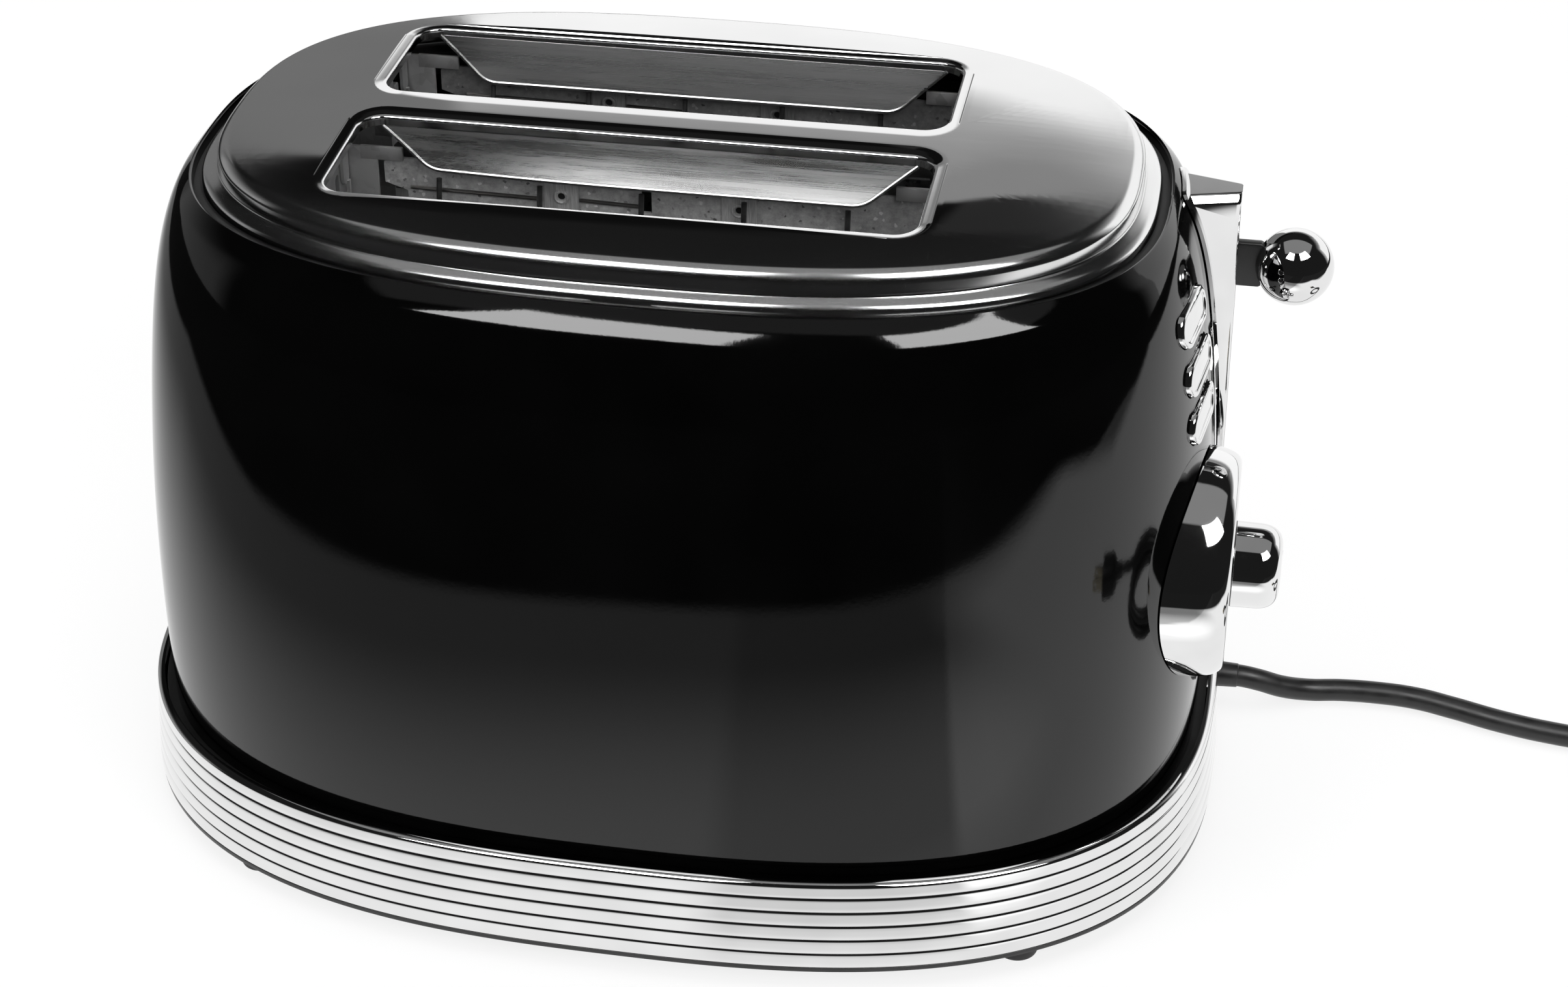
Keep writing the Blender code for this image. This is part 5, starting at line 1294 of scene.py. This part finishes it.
def makeCrumbPan():
    p = crumbPan
    half, near, floor, wall, back = p["halfLength"], p["near"], p["floor"], p["wall"], p["back"]
    pan = brick("crumbPan", (-half, near, floor), (half, p["far"], floor + p["lip"]), steel)
    above = brick("panAbove", (-half - 0.002, near - 0.002, floor + 0.0040), (half + 0.002, back, floor + 0.02), steel)
    inside = brick("panInside", (wall - half, near + wall, floor + wall), (half - wall, back, floor + 0.006), steel)
    carve(pan, above, inside)
    length, width = baseRing["Half Length"] - p["lipInset"], baseRing["Half Width"] - p["lipInset"]
    rows = [ovalRow(length, width, 0.0), ovalRow(length, width, 0.03)]
    carve(pan, newPiece("lipShape", rowsMesh("lipShape", rows, capped=True), steel), operation="INTERSECT")
    pull = [(0.0, -0.0105), (0.0040, -0.0100), (0.0040, 0.0100), (0.0, 0.0105)]
    carve(pan, lathe("pull", pull, (0.0, 0.1022, floor + 0.0030), "X", steel, 32))
    softEdges(pan, 0.0003, 2)
    settle(pan, "crumbs", "stainless", "crumb_tray")


def makeRelief():
    corners = [(0.0030, 0.1180, 0), (0.0056, 0.1180, 0.0004), (0.0056, 0.1200, 0.0003), (0.0045, 0.1200, 0)]
    corners.append((0.0045, 0.1240, 0))
    for ring in range(5):
        x, radius = 0.1245 + ring * 0.0026, 0.0043 - ring * 0.00022
        corners += [(radius - 0.0006, x - 0.0002, 0.0002), (radius - 0.0006, x + 0.0005, 0.0002)]
        corners += [(radius, x + 0.0008, 0.0003), (radius, x + 0.0018, 0.0003)]
    corners += [(0.0034, 0.1380, 0.0004), (0.0032, 0.1424, 0.0002), (0.0030, 0.1426, 0.0)]
    tip = lathe("strainRelief", softLine(corners, 3), (0, *cordRoute["exit"][1:]), "X", cordFlex, 48)
    settle(tip, "chassis", "rubber", "strain_relief")


makeTray()
makeFeet()
makeCrumbPan()
makeRelief()

plugShape = {
    "halfWidth": 0.0125, "halfHeight": 0.0085, "power": 0.62, "reach": 0.04, "bladeHole": 0.0016,
    # share of the way from the cord's end to the nose, and of the full width and height
    "stations": (
        (0.0, 0.26, 0.34), (0.06, 0.30, 0.40), (0.22, 0.34, 0.46), (0.36, 0.62, 0.72), (0.46, 0.86, 0.90),
        (0.60, 0.97, 0.98), (0.90, 1.0, 1.0), (0.975, 0.98, 0.97), (1.0, 0.90, 0.88),
    ),
}


def boxMiddle(low, high):
    return (low.x + high.x) / 2 - middleX, (low.y + high.y) / 2, (low.z + high.z) / 2


def makePlugBody():
    p, (low, high) = plugShape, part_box("plug_body")
    x, _, z = boxMiddle(low, high)
    rows = []
    for along, wide, tall in throughPoints([(a * p["reach"], b, c) for a, b, c in p["stations"]], 4):
        y = high.y + (low.y - high.y) * along / p["reach"]
        ring = []
        for c, s in circle(64):
            u = p["halfWidth"] * min(wide, 1.0) * math.copysign(abs(c) ** p["power"], c)
            v = p["halfHeight"] * min(tall, 1.0) * math.copysign(abs(s) ** p["power"], s)
            ring.append((x + u, y, z + v))
        rows.append(np.array(ring))
    body = newPiece("plugBody", rowsMesh("plugBody", rows, capped=True), plastic)
    rib = slab("gripCut", around(0.0, 0.0, 0.0080, 0.0006, 0.0005), "Z", z + 0.0080, z + 0.0100, plastic)
    start = (x, high.y + (low.y - high.y) * 0.58, 0.0)
    carve(body, repeat("grips", rib, start, (0.0, -0.0026, 0.0), 5, plastic))
    return settle(body, "chassis", "black_plastic", "plug_body")


def makeBlade(word):
    low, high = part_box("plug_blade_" + word)
    corners = [(high.y, low.z, 0), (low.y + 0.0001, low.z, 0), (low.y, low.z, 0.0016)]
    corners += [(low.y, high.z, 0.0016), (high.y, high.z, 0)]
    radius, middle = plugShape["bladeHole"], (low.z + high.z) / 2
    hole = [(low.y + 0.0040 + radius * c, middle + radius * s) for c, s in circle(20)]
    start, end = low.x - middleX, high.x - middleX
    blade = slab("plugBlade" + word.title(), softLine(corners, 5), "X", start, end, brass, [hole])
    softEdges(blade, 0.0002, 2)
    return settle(blade, "chassis", "brass", "plug_blade_" + word)


plugBody = makePlugBody()
plugBlades = [makeBlade(word) for word in ("left", "right")]
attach(cord, "chassis")
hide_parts("cord_run", "cord_coil", "cord_tail")
print("base and plug done")

# ---- mechanism: spring, magnet coil and the CAD pieces that stay

coiled = {"turns": 12, "sides": 24, "wire": 0.0005, "closed": 0.08, "turn": 0.0003, "pitch": 0.00062}


def makeSpring():
    low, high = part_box("return_spring")
    x, y, _ = boxMiddle(low, high)
    wire, steps = coiled["wire"], coiled["turns"] * coiled["sides"]
    radius = (high.y - low.y) / 2 - wire
    bottom, top = low.z + wire, high.z - wire
    points = []
    for step in range(steps + 1):
        share = step / steps
        rise = min(max((share - coiled["closed"]) / 0.84, 0.0), 1.0)  # the end turns lie closed
        angle = 2 * math.pi * step / coiled["sides"]
        height = bottom + (top - bottom) * (0.93 * rise + 0.07 * share)
        points.append((x + radius * math.cos(angle), y + radius * math.sin(angle), height))
    spring = tube("returnSpring", points, wire, zinc, 8)
    return settle(spring, "chassis", "zinc", "return_spring", sharp=60), low, high


spring, springLow, springHigh = makeSpring()
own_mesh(spring)


def makeMagnetCoil():
    low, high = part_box("magnet_coil")
    x, y, _ = boxMiddle(low, high)
    halfX, halfY = (high.x - low.x) / 2, (high.y - low.y) / 2

    def layer(name, inset, corner, start, end, finish):
        return slab(name, around(x, y, halfX - inset, halfY - inset, corner, 4), "Z", start, end, finish)

    path = [(u, v, 0.0) for u, v in around(x, y, halfX - 0.0003, halfY - 0.0003, 0.0022, 4)]
    loop = tube("turn", [*path, path[0], path[1]], coiled["turn"], copper, 6)
    count = int((high.z - low.z - 0.0012) / coiled["pitch"])
    coil = repeat("magnetCoil", loop, (0.0, 0.0, low.z + 0.0009), (0.0, 0.0, coiled["pitch"]), count, copper)
    core = layer("coilBody", 0.0004, 0.0018, low.z + 0.0004, high.z - 0.0004, copper)
    foot = layer("coilEnd", 0.0, 0.0012, low.z, low.z + 0.0007, plastic)
    head = layer("coilEnd", 0.0, 0.0012, high.z - 0.0007, high.z, plastic)
    settle(unite(coil, core, foot, head), "chassis", "copper", "magnet_coil", sharp=40)


makeMagnetCoil()

cadFinishes = (
    (zinc, ("carriage", "armature", "magnet_core", "guide_rod", "guide_bracket", "dial_shaft")),
    (zinc, ("bread_rack_front", "bread_rack_back")),
    (circuit, ("control_board",)),
    (plastic, ("cancel_switch", "reheat_switch", "defrost_switch", "browning_control")),
)
for finish, nodes in cadFinishes:
    for node in nodes:
        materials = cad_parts[node].data.materials
        materials.clear()
        materials.append(finish)
print("mechanism finished")

# ---- floor, studio cards, lamps and world

studio = {
    "boxStrength": 10.0, "overhead": 0.24, "white": 1.1, "grey": 0.28, "dark": 0.012, "rightWall": 0.6,
    "leftWall": 0.3, "radius": 8.0, "rows": 16, "columns": 48, "sunk": 0.05, "eyeHeight": 0.17, "floorReach": 9,
}


def emptyTree(holder):
    holder.use_nodes = True
    holder.node_tree.nodes.clear()
    return holder.node_tree


def glow(tree, strength):
    return add(tree, "ShaderNodeEmission", (1.0, 1.0, 1.0, 1.0), strength)


def window(value, low, high, soft):
    return smooth(value, low - soft, low + soft) * smooth(value, high - soft, high + soft, 1.0, 0.0)


def makeFloor():
    material = bpy.data.materials.new("paleFloor")
    tree = emptyTree(material)
    x, y, _ = split(objectSpot(tree))
    path = add(tree, "ShaderNodeLightPath")
    plain = add(tree, "ShaderNodeBsdfDiffuse", (0.9, 0.9, 0.9, 1.0))
    seen = add(tree, "ShaderNodeMixShader", 0.8, plain, glow(tree, 1.0))
    # in reflections the pale sheet ends before the toaster and to its sides, and dims towards that edge
    across = (x - 0.10) / ramp(y, -0.2, 0.0, 0.56, 0.70)
    deep = calc("MINIMUM", y - 0.02, 0.0) / 0.365
    span = calc("SQRT", across * across + deep * deep)
    level = smooth(span, 0.44, 0.82, 0.98, 0.28) * smooth(span, 0.97, 1.05, 1.0, 0.06)
    # the camera stands between the two softboxes and leaves a dimmer wedge
    beyond = (y + 0.14) * 0.527 + (x - 0.11)
    near = ramp(y, -0.1, -0.13)
    wedge = smooth(x, 0.005, 0.02, 0.0, -0.24) * near
    bright = smooth(beyond, -0.004, 0.006) * ramp(beyond, 0.03, 0.1, 0.62, 0.3) * near
    level = level * (wedge + 1.0 + bright)
    # towards the right the sheet comes nearer to the camera and stays bright
    limit = x - ramp(y, -0.1, 0.3, 0.0, 0.6)
    beside = smooth(x, 0.16, 0.25) * smooth(y, -0.36, -0.26) * smooth(limit, 0.48, 0.62, 1.0, 0.0)
    level = beside * (1.0 - level) + level
    mixed = add(tree, "ShaderNodeMixShader", path.other("Is Camera Ray"), plain, seen)
    mixed = add(tree, "ShaderNodeMixShader", path.other("Is Glossy Ray"), mixed, glow(tree, level))
    add(tree, "ShaderNodeOutputMaterial", mixed)
    reach = studio["floorReach"]
    mesh = bpy.data.meshes.new("floor")
    corners = [(-reach, -reach, 0), (reach, -reach, 0), (reach, reach, 0), (-reach, reach, 0)]
    mesh.from_pydata(corners, [], [(0, 1, 2, 3)])
    newPiece("floor", mesh, material)


def domeLevel(tree):
    x, y, z = split(objectSpot(tree))
    z = z - studio["eyeHeight"]
    degrees = 180 / math.pi
    up = calc("ARCTAN2", z, calc("SQRT", x * x + y * y)) * degrees
    turn = calc("ARCTAN2", x, y) * degrees  # 0 at the back, grows to the right
    above = calc("MAXIMUM", z, 0.001)
    aside, behind = x / above, y / above
    # the deck mirrors the top edge of the back sheet: white, then grey, then the dark ceiling
    ceiling = window(turn, -7.8, -5.7, 0.35) * 0.02 + 0.005 + smooth(turn, -4.6, -3.8, 0.0, 0.02)
    back = window(turn, -50, 26, 4)
    greyEdge, whiteEdge = up - (turn * 0.1 + 30.6), up - (turn * 0.04 + 26.18)
    layers = [
        (window(aside, -0.6, 0.75, 0.03) * window(behind, -0.42, 0.45, 0.03), studio["overhead"]),
        (window(turn, 26, 66, 6) * window(up, -10, 30, 12), studio["rightWall"]),
        (window(turn, -100, -50, 6) * window(up, -10, 20, 12), studio["leftWall"]),
        (back * window(up, 10, 37, 1), ceiling),
        (back * ramp(greyEdge, -0.3, 0.3, 1.0, 0.0), ramp(turn, -18, -8, 0.19, studio["grey"])),
        (window(turn, -16.9, 60, 0.35) * smooth(whiteEdge, -4.2, 1.6, 1.0, 0.0), studio["white"]),
    ]
    for low, high in ((113.0, 157.0), (-173.0, -140.0)):  # the two softboxes
        layers.append((window(turn, low, high, 0.8) * window(up, 45.0, 65.0, 0.8), studio["boxStrength"]))
    level = studio["dark"]
    for mask, strength in layers:
        level = mask * (strength - level) + level
    return level


def makeDome():
    material = bpy.data.materials.new("studioRoom")
    tree = emptyTree(material)
    add(tree, "ShaderNodeOutputMaterial", glow(tree, domeLevel(tree)))
    material.cycles.emission_sampling = "NONE"
    radius, rows = studio["radius"], []
    for row in range(studio["rows"] + 1):
        lift = math.pi / 2 * row / studio["rows"]
        side, height = radius * math.cos(lift), radius * math.sin(lift) - studio["sunk"]
        rows.append(np.array([(side * s, side * c, height) for c, s in circle(studio["columns"])]))
    dome = newPiece("studioDome", rowsMesh("studioDome", rows), material)
    for key in ("camera", "diffuse", "transmission", "shadow", "volume_scatter"):
        setattr(dome, "visible_" + key, False)


def lamp(name, place, size, power):
    data = bpy.data.lights.new(name, "AREA")
    data.shape, data.size, data.energy = "SQUARE", size, power
    light = newObject(name, data)
    light.location = place
    light.rotation_euler = (Vector((0, 0, 0.1)) - Vector(place)).to_track_quat("-Z", "Y").to_euler()
    light.visible_glossy = False


def makeWorld():
    world = scene.world = bpy.data.worlds.new("studioWorld")
    tree = emptyTree(world)
    path = add(tree, "ShaderNodeLightPath")
    soft = add(tree, "ShaderNodeBackground", (1, 1, 1, 1), 0.45)
    white = add(tree, "ShaderNodeBackground", (1, 1, 1, 1), 1.0)
    seen = calc("MAXIMUM", path.other("Is Camera Ray"), path.other("Is Glossy Ray"))
    seen = calc("MAXIMUM", seen, path.other("Is Transmission Ray"))
    add(tree, "ShaderNodeOutputWorld", add(tree, "ShaderNodeMixShader", seen, soft, white))


makeFloor()
makeDome()
lamp("keyLamp", (0.9, -1.1, 1.0), 1.0, 14.0)
lamp("fillLamp", (-1.0, -0.9, 1.0), 1.0, 9.0)
lamp("topLamp", (0.0, 0.1, 1.5), 1.4, 14.0)
makeWorld()
print("studio lit")
